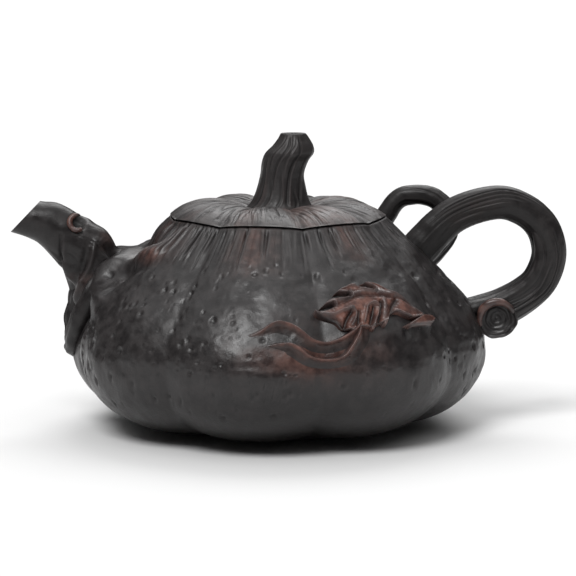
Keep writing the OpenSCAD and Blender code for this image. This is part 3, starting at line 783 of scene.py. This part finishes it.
lipAngles = np.radians(np.linspace(stub["lipFrom"], stub["lipTo"], 15))
lipReach = stubRadius - stub["lipInset"]
lipMiddle = np.array([stubMiddle[0], stubLow[1] + 0.1, stubMiddle[2]])
lipPath = [lipMiddle + lipReach * np.array([math.cos(k), 0, -math.sin(k)]) for k in lipAngles]
makeLip("stubLip", "stub_lip", lipPath, stub["lipRadii"], 53, 0.6)
print("handle made")

# Spout: each station is its share of the reach, share of the rise, lean, half height, half width
spout = dict(
    reach=21.2,
    rise=20.1,
    wall=2.0,
    stations=[[-0.10, 0.28, 38, 8.9, 8.4], [-0.21, 0.53, 39, 8.63, 7.6], [-0.41, 0.70, 45, 7.39, 6.8],
              [-0.69, 0.91, 54, 6.5, 6.0], [-1.0, 1.0, 46, 6.14, 5.6]],
    steps=190,
    innerSteps=44,
    sides=168,
    knotRadius=2.2,
    knotFrom=80,
    knotTo=325,
    knotRadii=[0.35, 0.6, 0.75, 0.8, 0.8, 0.75, 0.7, 0.5],
)
spoutRoot = onPot(spoutAz, spoutS)
knotLow, knotHigh = nodeBox("spout_knot")
knotMiddle = (knotLow + knotHigh) / 2


def spoutStation(k, turn, thin=0.0):
    share, lifted, tilt, high, wide = spout["stations"][k]
    c = spoutRoot + np.array([share * spout["reach"], 0, lifted * spout["rise"]])
    lean = math.radians(tilt)
    up = np.array([math.cos(lean), 0, math.sin(lean)])
    u = np.radians(turn)[:, None]
    return c + (high - thin) * np.sin(u) * up + (wide - thin) * np.cos(u) * np.array([0, -1, 0])


def spoutFoot(turn, azHalf, sHalf, lift):
    u = np.radians(turn)
    return onPot(spoutAz + azHalf * np.cos(u), spoutS + sHalf * np.sin(u), lift)


# Strokes pressed into or raised from the spout as seen from the side: points [x, z] in mm from its
# root, then radius and height
spoutStrokes = [
    ([[-10.5, 15.5], [-10.8, 8], [-9.6, 2], [-7.5, -5]], 0.5, -1.0),
    ([[-9.7, 14.5], [-9.9, 8], [-8.6, 1.5], [-6.2, -5]], 0.8, 0.6),
    ([[-2.5, 13], [-4.5, 7], [-7, 2.5], [-8.8, -2.5], [-9.4, -8]], 1.4, -1.5),
    ([[-0.8, 13.5], [-2.2, 7.5], [-4.6, 3], [-6.8, -2], [-7.4, -6]], 0.9, 1.0),
    ([[4.5, 9], [0.5, 4.5], [-1, 1], [-3, -1]], 1.1, -1.2),
    ([[1.5, 13], [3.5, 11], [5.5, 8.5]], 1.0, -1.3),
    ([[0.2, 14], [2.8, 12.3], [4.6, 9.6]], 1.1, 1.0),
    ([[6, 9.2], [3.5, 5.5], [1, 2]], 0.9, 0.8),
    ([[3, 4], [5, 6], [7, 7]], 1.4, 0.9),
]


def spoutRelief(grid, tt, uu):
    sideways = (grid - spoutRoot)[..., ::2]
    front = smooth(-gridNormals(grid)[..., 1], 0.0, 0.45)
    turn = np.radians(uu)
    flowing = ringPoint(9, turn + 0.9 * tt, tt * 14)
    rooty = 1 - smooth(tt, 0.5, 0.78)
    lift = rooty * 0.75 * clayNoise(flowing * [1, 1, 0.45], 4.2, 61)
    lift += rooty * 0.4 * clayNoise(flowing * [1, 1, 0.5], 2.1, 62)
    creases = furrows(clayNoise(flowing * [1, 1, 0.3], 3.4, 63), 3)
    lift -= 0.55 * rooty * creases * (1 - 0.5 * front)
    lift += 0.1 * clayNoise(grid, 3.2, 64)
    wearAndHighlight = 0.3 * rooty * smooth(clayNoise(flowing * [1, 1, 0.4], 2.6, 65), 0.2, 0.8)
    slip = 0.2 * rooty * smooth(clayNoise(grid, 6, 66), 0.0, 0.8)
    fromKnot = (grid - knotMiddle)[..., ::2]
    press = bell(np.linalg.norm(fromKnot, axis=-1), 2.1, 4) * front
    flap = bell(np.linalg.norm(fromKnot - [3.6, 1.4], axis=-1), 1.6)
    lift += 1.1 * flap - 1.6 * press
    # painted shade in the creases and inside the knot hole
    hollow = np.maximum(0.35 * rooty * creases, 0.95 * press)
    # a painted highlight on the flap
    wearAndHighlight = np.maximum(wearAndHighlight, 0.25 * flap)
    for line, radius, height in spoutStrokes:
        d, share = alongPath(sideways, smoothLine(line, 20))[:2]
        press = bell(d, radius) * front * np.sqrt(np.clip(np.sin(np.pi * np.clip(share, 0.04, 0.96)), 0, 1))
        lift += height * press
        # pressed strokes get painted shade, raised ones a painted highlight
        if height < 0:
            hollow = np.maximum(hollow, min(-height, 1) * 0.7 * press)
        else:
            wearAndHighlight = np.maximum(wearAndHighlight, 0.35 * press)
    # painted shade over the underside, on top of 0.2 of it everywhere
    shade = 0.2 + 0.3 * smooth(np.cos(turn + math.pi / 2), 0.2, 1.0)
    return lift, dict(hollow=np.clip(np.maximum(hollow, shade), 0, 1), wearAndHighlight=wearAndHighlight, slip=slip)


def makeSpout():
    steps, sides, innerSteps = spout["steps"], spout["sides"], spout["innerSteps"]
    turn = np.linspace(0, 360, sides, endpoint=False)
    stations = range(len(spout["stations"]))
    control = [spoutFoot(turn, 15, 0.15, -1.4), spoutFoot(turn, 12.5, 0.125, 0.4)]
    control += [spoutStation(k, turn) for k in stations]
    t = np.linspace(0, 1, steps)
    outer = through(np.array(control).reshape(len(control), -1), t).reshape(steps, sides, 3)
    tt, uu = np.meshgrid(t, turn, indexing="ij")
    lift, paint = spoutRelief(outer, tt, uu)
    settle = between(tt, 0.0, 0.12, 0.93, 1.0)
    outer = outer + (lift * settle)[..., None] * gridNormals(outer)
    bore = [spoutFoot(turn, 8.3, 0.088, -1.6)] + [spoutStation(k, turn, spout["wall"]) for k in stations]
    back = np.linspace(1, 0, innerSteps)
    inner = through(np.array(bore).reshape(len(bore), -1), back).reshape(innerSteps, sides, 3)
    rings = np.concatenate([outer, inner])
    paint = padded(paint, 0, innerSteps)
    # painted shade deepening into the bore
    paint["hollow"][steps:] = np.minimum(0.2 + 0.75 * (1 - back), 0.9)[:, None]
    makePiece("spoutBranch", "pot", "spout", vineClay, rings,
              bandFaces(len(rings), sides, True).tolist(), paint)


makeSpout()

knotUp, knotSide = unit(np.array([0.25, 0.45, 0.86])), unit(np.array([0.95, -0.1, -0.3]))
knotPath = [knotMiddle + spout["knotRadius"] * (math.cos(k) * knotSide + 1.05 * math.sin(k) * knotUp)
            for k in np.radians(np.linspace(spout["knotFrom"], spout["knotTo"], 22))]
makeLip("spoutKnot", "spout_knot", knotPath, spout["knotRadii"], 67, 0.85)


def rootRelief(seed, depth):
    def relief(tt, uu, grid):
        lines = [(0.0, 0.9, -40, -10, 14, depth), (0.1, 1.0, 30, 50, 14, depth),
                 (0.05, 0.85, 90, 70, 12, depth)]
        lift, wearAndHighlight, dark = flowLines(tt, uu, lines)
        lift = lift + 0.35 * clayNoise(grid, 3.2, seed)
        # painted shade in the grooves and at least 0.35 of it everywhere; wear with painted highlight on the
        # grooves' lips
        return lift, dict(wearAndHighlight=0.5 * wearAndHighlight, hollow=np.maximum(0.6 * dark, 0.35))
    return relief


# Roots: the line as [az, s, lift], and the radius along it
roots = dict(
    rootMain=([[179, 0.72, 1.0], [179, 0.67, 3.0], [179, 0.625, 2.2], [179, 0.59, 1.9], [180, 0.555, 1.0],
               [182, 0.52, 0.2], [184, 0.48, -0.6]],
              [3.2, 3.4, 2.4, 2.5, 1.9, 1.8, 0.9]),
    rootFront=([[187, 0.75, 1.5], [190, 0.70, 2.2], [190, 0.65, 1.6], [189, 0.60, 1.1], [187, 0.55, 0.6],
                [184.5, 0.51, 0.3], [182, 0.48, 0.1], [180, 0.455, -2.4]],
               [3.0, 3.4, 3.2, 3.0, 2.7, 2.3, 1.7, 0.7]),
    rootBack=([[170, 0.75, 1.6], [163, 0.7, 0.8], [160, 0.65, 0.5], [163, 0.6, 0.2], [168, 0.56, -0.6]],
              [2, 1.8, 1.6, 1.4, 0.7]),
)
for (name, (line, radii)), node in zip(roots.items(), ("root_main", "root_front", "root_back")):
    outward = [potOutward(*q[:2]) for q in line]
    limbPiece(name, node, vineClay, [onPot(*q) for q in line], radii, outward, 170, 80,
              rootRelief(81 + len(name), 0.3), ends=(0, 0.1))
print("spout and roots made")

# Leaf, on its flat pattern: fingers and slots have a half width; folds have a radius, and a height that
# is pressed in where it is below 0. The first fold is the middle vein
leaf = dict(
    thick=1.25,
    crown=0.8,
    rim=0.42,
    upperEdge=[[-16.4, 0.2], [-13, 2.4], [-10.6, 4.2], [-9, 5.6], [-6.6, 6.9], [-3.5, 7.3], [-1, 7.3],
               [2, 7.5], [5, 6.6], [7.6, 4.4], [10.5, 2.2], [13, -1], [16, -5]],
    lowerEdge=[[14, -5.6], [11, -5.4], [9, -4.2], [7, -3], [5, -3.6], [3.2, -5.6], [0.6, -6], [-1.6, -6.8],
               [-4.4, -6.4], [-6.8, -6.9], [-9.6, -6.4], [-11, -4], [-13.5, -2.4], [-16, -0.9]],
    fingers=[
        ([[-5.7, -2.8], [-6, -5], [-6.8, -6.6]], 1.15),
        ([[-0.2, -3], [-0.8, -5], [-1.6, -6.9]], 1.15),
        ([[3.8, -1.8], [3, -4], [1.9, -6.2]], 1.1),
    ],
    slots=[
        ([[-2.0, 6.9], [0.2, 6.0], [2.1, 4.9]], 0.55),
        ([[-10.8, 3.9], [-8.1, 4.2], [-5.4, 3.9]], 0.7),
        ([[-15, 0.6], [-12.3, 1.1], [-10.4, 1.6]], 0.4),
    ],
    folds=[
        ([[15.6, -4.4], [12.2, -1.2], [9.6, 1.4], [6.5, 1.6], [4, 2.2], [0, 3], [-4, 2.8], [-7.5, 1.9],
          [-11, 0.6], [-15, 0]], 0.55, -0.35),
        ([[15.2, -3.6], [12.4, -0.2], [9.6, 2.4], [6, 3.2], [2, 4.2], [-3, 4.4], [-8, 2.9], [-14, 1.2]],
         0.9, 0.35),
        ([[-16, -0.2], [-13.5, -0.9], [-11, -1.5], [-8, -0.5], [-5.6, -0.2]], 0.5, 0.6),
        ([[-4.4, 5.2], [-1, 4.9], [3, 3.6]], 0.4, -0.2),
        ([[6, 4.4], [9.5, 1.6], [13, -2]], 0.45, -0.16),
        ([[-4.7, 6.9], [-1.6, 6.1], [-0.2, 4.6], [1.8, 4.1], [3.1, 4.6], [2.7, 5.6], [0.9, 6.7]], 0.4, 0.75),
        ([[-10.8, 3.3], [-5.8, 3.1], [-4.9, 3.6], [-5.4, 4.6], [-8.3, 4.9]], 0.4, 0.75),
        ([[-5.6, -0.3], [-4.9, -1.8], [-5.8, -3.8], [-7, -5.4]], 0.4, 0.7),
        ([[-3.4, -4.6], [-2.2, -2], [-1.1, 0], [0.9, 0.5], [2, -0.5], [1.6, -2], [0, -4.1], [-1.3, -6.1]],
         0.4, 0.75),
        ([[4.3, 1.5], [3.6, -1.5], [1.8, -5.9]], 0.7, 0.4),
        ([[-15, -1.6], [-13, -2.6], [-10.8, -3.4], [-9.4, -5.6]], 0.8, -0.9),
        ([[-6.1, -1.3], [-7.2, -2.6], [-8.3, -4.4], [-8.9, -6.4]], 0.55, -0.9),
        ([[-3.9, -1.4], [-4.5, -3.2], [-5.4, -6.4]], 0.5, -0.8),
        ([[0.5, -0.7], [-0.4, -2.6], [-1.9, -5.6]], 0.5, -0.8),
        ([[3.1, 0.4], [2, -2], [0.3, -5.6]], 0.5, -0.9),
        ([[8.5, 0.8], [6, -1.2], [4.4, -4.4]], 0.8, -0.8),
        ([[15.7, -4.4], [12.8, -0.3], [10.5, 2.3], [7.4, 4.6], [4.9, 6.7], [1.6, 7.2]], 0.5, 0.25),
    ],
)
def polygonDistance(points, corners):
    # distance to the edge of a closed outline, negative inside
    closed = np.vstack([corners, corners[:1]])
    d = alongPath(points, closed)[0]
    inside = np.zeros(points.shape[:-1], bool)
    for (ax, ay), (bx, by) in zip(closed[:-1], closed[1:]):
        x, y = points[..., 0], points[..., 1]
        crosses = (ay > y) != (by > y)
        inside ^= crosses & (x < (bx - ax) * (y - ay) / (by - ay + 1e-12) + ax)
    return np.where(inside, -d, d)


def leafHeight(a, b):
    points = np.stack([a, b], -1)
    edge = np.vstack([smoothLine(leaf["upperEdge"], 60), smoothLine(leaf["lowerEdge"], 40)])
    d = polygonDistance(points, edge)
    for line, half in leaf["fingers"]:
        far, share = alongPath(points, smoothLine(line))[:2]
        d = np.minimum(d, far - half * (1 - 0.35 * share))
    gap = np.full(a.shape, 1e9)
    for line, half in leaf["slots"]:
        far, share = alongPath(points, smoothLine(line))[:2]
        gap = np.minimum(gap, far - half * (0.45 + 0.75 * np.sin(np.pi * np.clip(share, 0.1, 0.9))))
    d = np.maximum(d, -gap)
    deep = np.clip(-d, 0, None)
    height = -0.5 + (leaf["thick"] + 0.5) * np.sqrt(smooth(deep, 0, 0.55)) - 1.5 * smooth(d, 0, 0.5)
    height += leaf["rim"] * bell(deep - 0.5, 0.36) * (d < 0)
    middle = alongPath(points, smoothLine(leaf["folds"][0][0]))[0]
    height += leaf["crown"] * bell(middle, 4.5) * smooth(deep, 0.1, 0.9)
    # a painted highlight with wear along the rim, and on the raised folds below
    wearAndHighlight = 0.6 * bell(deep - 0.45, 0.3) * (d < 0)
    grooves = np.zeros_like(a)
    for line, radius, press in leaf["folds"]:
        far = alongPath(points, smoothLine(line, 40))[0]
        stroke = bell(far, radius)
        height += press * stroke * smooth(deep, 0.1, 0.6)
        wearAndHighlight = wearAndHighlight + (0.55 * stroke if press > 0.3 else 0)
        # painted shade in the pressed folds
        grooves = np.maximum(grooves, (min(1.2 * -press, 0.85) * stroke if press < 0 else 0) * (d < 0))
    veins = np.sin(5.2 * (a + 0.35 * b + 0.7 * np.sin(0.6 * b)))
    height += 0.03 * veins * smooth(deep, 0.3, 1.0)
    # painted shade in the slots and where the leaf sinks
    hollow = 0.85 * smooth(d, -0.12, 0.25) * (gap < 0.25) + 0.3 * smooth(-height, -0.6, 0.2)
    hollow = np.maximum(hollow, grooves)
    red = 0.95 - 0.35 * smooth(a, 6, 15) * smooth(-b, 0, 4)
    return height, dict(slip=red, hollow=np.clip(hollow, 0, 0.9), wearAndHighlight=np.clip(wearAndHighlight, 0, 0.65))


def makePatch(name, node, low, high, step, heightOf):
    a = np.arange(low[0], high[0] + step, step)
    b = np.arange(low[1], high[1] + step, step)
    bb, aa = np.meshgrid(b, a, indexing="ij")
    height, paint = heightOf(aa, bb)
    rim = np.minimum.reduce([aa - low[0], high[0] - aa, bb - low[1], high[1] - bb])
    height = np.where(rim < 0.6, np.minimum(height, -0.8), height)
    az, s = fromPattern(aa, bb)
    lift = potRelief(az, s)[0]
    top = onPot(az, s, np.maximum(lift + height, lift - 1.0))
    under = np.linspace(len(a) - 1, 0, 12).round().astype(int)
    bottom = onPot(az[:, under], s[:, under], -2.4)
    paint = padded(paint, 0, len(under), 1)
    closedPiece(name, "pot", node, darkClay, np.concatenate([top, bottom], 1), paint)


makePatch("leafBlade", "leaf_blade", (-17.6, -8.6), (17.4, 8.8), 0.13, leafHeight)


# Stalk: the line of its upper edge, and the flat cut end above it
stalk = dict(
    top=[[7.6, -7.4], [10.5, -7.3], [14, -7.1], [17.5, -6.3], [20.5, -6.6]],
    plate=[[7.4, -7.2], [15, -4.2], [18.5, -4.6], [20.6, -6.2], [18.5, -7.6], [9, -7.9]],
)


def stalkHeight(a, b):
    points = np.stack([a, b], -1)
    d, _, side = alongPath(points, smoothLine(stalk["top"]))
    below = np.where(side < 0, d, -d)
    ridge = 1.6 * smooth(below, -0.5, 0.35) * np.exp(-np.maximum(below, 0) / 3.6) * smooth(a, 8.6, 9.6)
    ridge = ridge * (1 - smooth(a + 0.25 * below, 15.5, 22.4))
    plate = polygonDistance(points, np.array(stalk["plate"], float))
    slab = 2.35 * np.sqrt(smooth(-plate, 0, 0.7)) + 0.3 * bell(plate + 0.45, 0.3)
    height = np.maximum(ridge, slab) - 0.4
    # a notch of painted shade below the stalk's left end
    notch = bell(a - 9.3, 0.9) * smooth(-b, 7.6, 8.4) * (1 - smooth(-b, 10.5, 12.5))
    red = 0.75 * smooth(-plate, -0.4, 0.3)
    # painted shade in the notch and along the stalk's left side
    hollow = np.clip(0.95 * notch + 0.5 * smooth(a, 9.6, 8.6) * smooth(-b, 8, 9), 0, 0.95)
    # a painted highlight along the edge of the cut plate
    return height, dict(slip=red, hollow=hollow, wearAndHighlight=0.5 * bell(plate + 0.4, 0.3))


makePatch("leafStalk", "leaf_stalk", (6.4, -18.5), (22.4, -3.6), 0.15, stalkHeight)


def tendrilHeight(line, taper):
    def heightOf(a, b):
        points = np.stack([a, b], -1)
        d, share, side = alongPath(points, smoothLine(line, 90))
        above = d * side
        grow = smooth(share, 0, taper) * (1 - 0.25 * smooth(share, 0.85, 1))
        width = tendrils["gentle"] * (0.6 + 0.4 * grow)
        below = 0.5 * bell(above, 0.75) + 0.5 * bell(above, width)
        shape = np.where(above > 0, bell(above, tendrils["steep"]), below)
        height = tendrils["height"] * grow * shape - 0.3
        height = height - 0.8 * smooth(d, 3.6, 4.8)
        red = grow * np.minimum(0.95 * bell(above + 0.15, 0.55) + 0.3 * bell(above + 1.4, 1.3), 1)
        # a painted highlight along the crest
        wearAndHighlight = 0.35 * grow * bell(above - 0.05, 0.3)
        # painted shade in the band below the crest
        shade = 0.45 * grow * bell(above + 2.0, 1.2)
        return height, dict(slip=red, hollow=shade, wearAndHighlight=wearAndHighlight)
    return heightOf


makePatch("tendrilUpper", "tendril_upper", (-38, -15.5), (-1.5, 0.5), 0.16,
          tendrilHeight(tendrils["upperLine"], 0.3))
makePatch("tendrilLower", "tendril_lower", (-33, -21.5), (-1.5, -1.5), 0.16,
          tendrilHeight(tendrils["lowerLine"], 0.3))
print("leaf and tendrils made")

# Lid
lid = dict(gap=0.45, rise=6.5, middleRadius=9.5, columns=880, rows=96, striation=0.4, ventRadius=0.9)
lidMiddle = rimHeight + 2.5
seamHeight = rimHeight + lid["gap"]
lidCurve = np.array([[rimRadius, seamHeight], [rimRadius - 3.5, rimHeight + 3.7],
                     [rimRadius - 11, rimHeight + lid["rise"]], [lid["middleRadius"], lidMiddle + 0.2]])
rimOut = outline(1.0)[1]


def spun(flat, turns):
    return ringPoint(flat[..., 0], np.radians(turns), flat[..., 1])


def lobeTurn(az):
    # degrees from the nearest valley between lobes
    step = 360 / pot["lobes"]
    return (az - pot["valleyAt"] + step / 2) % step - step / 2


def lidRelief(az, p):
    spread = ringPoint(30, np.radians(az + 10 * p**2), p * 1.7)
    one, two, three = (clayNoise(spread, size, 91 + k) for k, size in enumerate((1.9, 1.0, 4.2)))
    grooves = furrows(one, 3.6) + 0.6 * furrows(two, 3)
    fade = 0.3 + 0.7 * smooth(p, 0.02, 0.35)
    crease = bell(apart(lobeTurn(az), 0), 2.2) * (1 - 0.6 * p)
    lift = lid["striation"] * fade * (0.5 * three + 0.3 * one - 1.0 * grooves) - 0.35 * crease
    lift = lift + 0.1 * clayNoise(spread, 7, 97)
    # wear with painted highlight on the ridges, and painted shade in the grooves and the creases between
    # lobes
    wearAndHighlight = 0.32 * fade * np.clip(0.3 + three + 0.8 * two - 1.6 * grooves, 0, 1)
    hollow = np.maximum(0.55 * np.clip(grooves, 0, 1) * fade, 0.6 * crease)
    return lift, dict(slip=0.3 * smooth(clayNoise(spread, 9, 95), 0.1, 0.8), hollow=hollow, wearAndHighlight=wearAndHighlight)


def makeLid():
    turns = pot["valleyAt"] + 360 * np.arange(lid["columns"]) / lid["columns"]
    p = np.linspace(1, 0, lid["rows"])
    az, pp = np.meshgrid(turns, p)
    depth = pot["valleyEdge"] + 1.2 * np.sin(np.pi * pp) - 0.6 * pp
    inward = -np.stack([rimOut[0] * (1 - pp), rimOut[1] + (1 - rimOut[1]) * pp], -1)
    lift, paint = lidRelief(az, pp)
    sink = depth * (1 - swell(az, 0.95)) - lift * smooth(pp, 0, 0.05)
    flat = cubic(lidCurve, pp) + sink[..., None] * inward
    top = spun(flat, az)
    inner = [spun(np.array([r, lidMiddle]), turns) for r in (lid["ventRadius"], 5.0)]
    edge = outline(1.0)[0] - pot["wall"] * rimOut + np.array([0, lid["gap"]])
    underMiddle = np.array([lid["ventRadius"], rimHeight - 0.9])
    curve = np.array([edge, [edge[0] - 2.7, edge[1] + 1.9], [16, rimHeight + 0.4], underMiddle])
    under = []
    for share in (0, 0.1, 0.25, 0.45, 0.7, 0.9, 1.0):
        place = cubic(curve, np.array(share))
        dip = pot["valleyEdge"] * (1 - share) * (1 - swell(turns, 0.95))
        under.append(spun(place - dip[:, None] * rimOut, turns))
    bevel = [top[-1] * [0.988, 0.988, 1] + np.array([0, 0, -0.05])]
    rings = np.concatenate([inner, top, bevel, under])[::-1]
    paint = padded(paint, len(inner), len(bevel) + len(under))
    paint["hollow"][-9:-4] = 1  # the seam's shadow
    paint = {word: values[::-1] for word, values in paint.items()}
    makePiece("lidDome", "lid", "lid_dome", lidClay, rings,
              bandFaces(len(rings), len(turns), True).tolist(), paint)


makeLid()

# Stem
stem = dict(
    height=21,
    radius=6.1,
    line=[[-0.06, 0.4, 1.64], [0, 0.5, 1.54], [0.06, 0.7, 1.38], [0.15, 0.9, 1.24], [0.29, 1.1, 1.1],
          [0.45, 1.3, 1], [0.62, 2.1, 1.06], [0.74, 3.4, 1.12], [0.84, 4.3, 0.94], [0.93, 4.5, 0.74],
          [1, 4.4, 0.6]],
    facetTurn=312,
    steps=190,
    sides=220,
    lines=[(0.3, 1.0, 248, 256, 4, 0.3), (0.0, 0.6, 262, 270, 3, 0.22), (0.12, 1.0, 286, 292, 4, 0.42),
           (0.0, 0.5, 236, 240, 4, 0.3), (0.45, 0.95, 272, 276, 3, 0.2), (0.2, 0.75, 318, 330, 4, 0.3),
           (0.0, 0.7, 212, 218, 5, 0.5), (0.5, 1.0, 228, 236, 4, 0.25), (0.05, 0.45, 300, 304, 3, 0.24)],
)


def makeStem():
    t = np.linspace(0, 1, stem["steps"])
    rows = through(np.array(stem["line"], float), t)
    turn = np.linspace(0, 360, stem["sides"], endpoint=False)
    tt, uu = np.meshgrid(t, turn, indexing="ij")
    share = rows[:, 0][:, None]
    base = stem["radius"] * rows[:, 2][:, None]
    lines = list(stem["lines"]) + [(0.0, 1.0, u, u + 8, 5, 0.3) for u in (14, 40, 58, 95, 120, 134, 171)]
    lift, wearAndHighlight, dark = flowLines(tt, uu, lines)
    u = np.radians(uu)
    fibre = ringPoint(7, u - 0.12 * share, share * 3)
    fine = clayNoise(fibre * [1, 1, 0.5], 0.8, 102)
    lift += 0.36 * clayNoise(fibre, 4.2, 103) + 0.1 * clayNoise(fibre, 1.8, 101) + 0.06 * fine
    wearAndHighlight = np.maximum(wearAndHighlight, 0.4 * smooth(fine, 0.25, 0.8) * smooth(1 - tt, 0, 0.1))
    r = base + lift * smooth(1 - tt, 0, 0.06)
    facet = 0.9 * base / np.maximum(np.cos(np.radians(apart(uu, stem["facetTurn"]))), 0.3)
    onFacet = between(share, 0.5, 0.68, 0.9, 0.99)
    r = r + onFacet * (np.minimum(r, facet) - r)
    points = np.stack([rows[:, 1][:, None] + r * np.cos(u), 0.92 * r * np.sin(u),
                       lidMiddle + stem["height"] * share + 0 * u], -1)
    crown = points[-1]
    middle = crown.mean(0)
    capRows = (0.94, 0.12), (0.8, 0.16), (0.6, 0.1), (0.42, 0.05)
    caps = [middle + (crown - middle) * k + [0, 0, z] for k, z in capRows]
    hole = [middle + ringPoint(lid["ventRadius"], u[0], z) for z in (0.02, -0.4, -2, -5)]
    rings = np.concatenate([points, caps, hole])
    # painted shade in the grooves and sunken spots, and at least 0.18 of it everywhere
    hollow = np.maximum(np.maximum(dark, 0.35 * smooth(-lift, 0.1, 0.7)), 0.18)
    paint = dict(slip=0.12 * smooth(lift, 0, 0.5), hollow=hollow, wearAndHighlight=wearAndHighlight)
    paint = padded(paint, 0, len(caps) + len(hole))
    closedPiece("lidStem", "lid", "lid_stem", stemClay, rings, paint)


makeStem()
print("lid made")

# Floor, light and camera
stage = dict(
    floorTone=0.76,
    floorHalf=9,
    skyHigh=0.95,
    skyLow=0.05,
    skyFrom=0.45,
    skyTo=0.8,
    keyLight=(-112, 52, 26, 2.0),
    backLight=(80, 48, 40, 1.25),
    distance=0.75,
    elevation=8,
    aim=(0.0029, 0, 0.0395),
    lens=162.9,
)
floorMesh = bpy.data.meshes.new("floor")
half = stage["floorHalf"]
corners = [(-half, -half, 0), (half, -half, 0), (half, half, 0), (-half, half, 0)]
floorMesh.from_pydata(corners, [], [(0, 1, 2, 3)])
floor = bpy.data.objects.new("floor", floorMesh)
bpy.context.scene.collection.objects.link(floor)
floorFinish = bpy.data.materials.new("paleFloor")
floorFinish.use_nodes = True
floorShader = floorFinish.node_tree.nodes["Principled BSDF"]
floorShader.inputs["Base Color"].default_value = (stage["floorTone"],) * 3 + (1,)
floorShader.inputs["Roughness"].default_value = 0.9
floorMesh.materials.append(floorFinish)

world = bpy.data.worlds.new("studio")
bpy.context.scene.world = world
world.use_nodes = True
worldNodes, worldLinks = world.node_tree.nodes, world.node_tree.links
direction = worldNodes.new("ShaderNodeTexCoord")
height = worldNodes.new("ShaderNodeSeparateXYZ")
ramp = worldNodes.new("ShaderNodeMapRange")
worldLinks.new(direction.outputs["Generated"], height.inputs[0])
worldLinks.new(height.outputs["Z"], ramp.inputs["Value"])
ramp.interpolation_type = "SMOOTHSTEP"
ramp.inputs["From Min"].default_value = stage["skyFrom"]
ramp.inputs["From Max"].default_value = stage["skyTo"]
ramp.inputs["To Min"].default_value = stage["skyLow"]
ramp.inputs["To Max"].default_value = stage["skyHigh"]
worldLinks.new(ramp.outputs["Result"], worldNodes["Background"].inputs["Strength"])
worldNodes["Background"].inputs["Color"].default_value = (1, 1, 1, 1)


def farLight(name, azimuth, elevation, spread, strength):
    # a softbox so far off that it lights the whole floor evenly
    data = bpy.data.lights.new(name, "SUN")
    data.angle = math.radians(spread)
    data.energy = strength
    lamp = bpy.data.objects.new(name, data)
    a, e = math.radians(azimuth), math.radians(elevation)
    place = Vector((math.cos(a) * math.cos(e), math.sin(a) * math.cos(e), math.sin(e)))
    lamp.rotation_euler = place.to_track_quat("Z", "Y").to_euler()
    bpy.context.scene.collection.objects.link(lamp)


farLight("keyLight", *stage["keyLight"])
farLight("backLight", *stage["backLight"])

cameraData = bpy.data.cameras.new("camera")
cameraData.lens = stage["lens"]
cameraData.sensor_width = 36
camera = bpy.data.objects.new("camera", cameraData)
tilt = math.radians(stage["elevation"])
camera.location = Vector(stage["aim"]) + stage["distance"] * Vector((0, -math.cos(tilt), math.sin(tilt)))
camera.rotation_euler = (math.radians(90) - tilt, 0, 0)
bpy.context.scene.collection.objects.link(camera)
bpy.context.scene.camera = camera
bpy.context.scene.view_settings.view_transform = "Standard"
print("stage made")
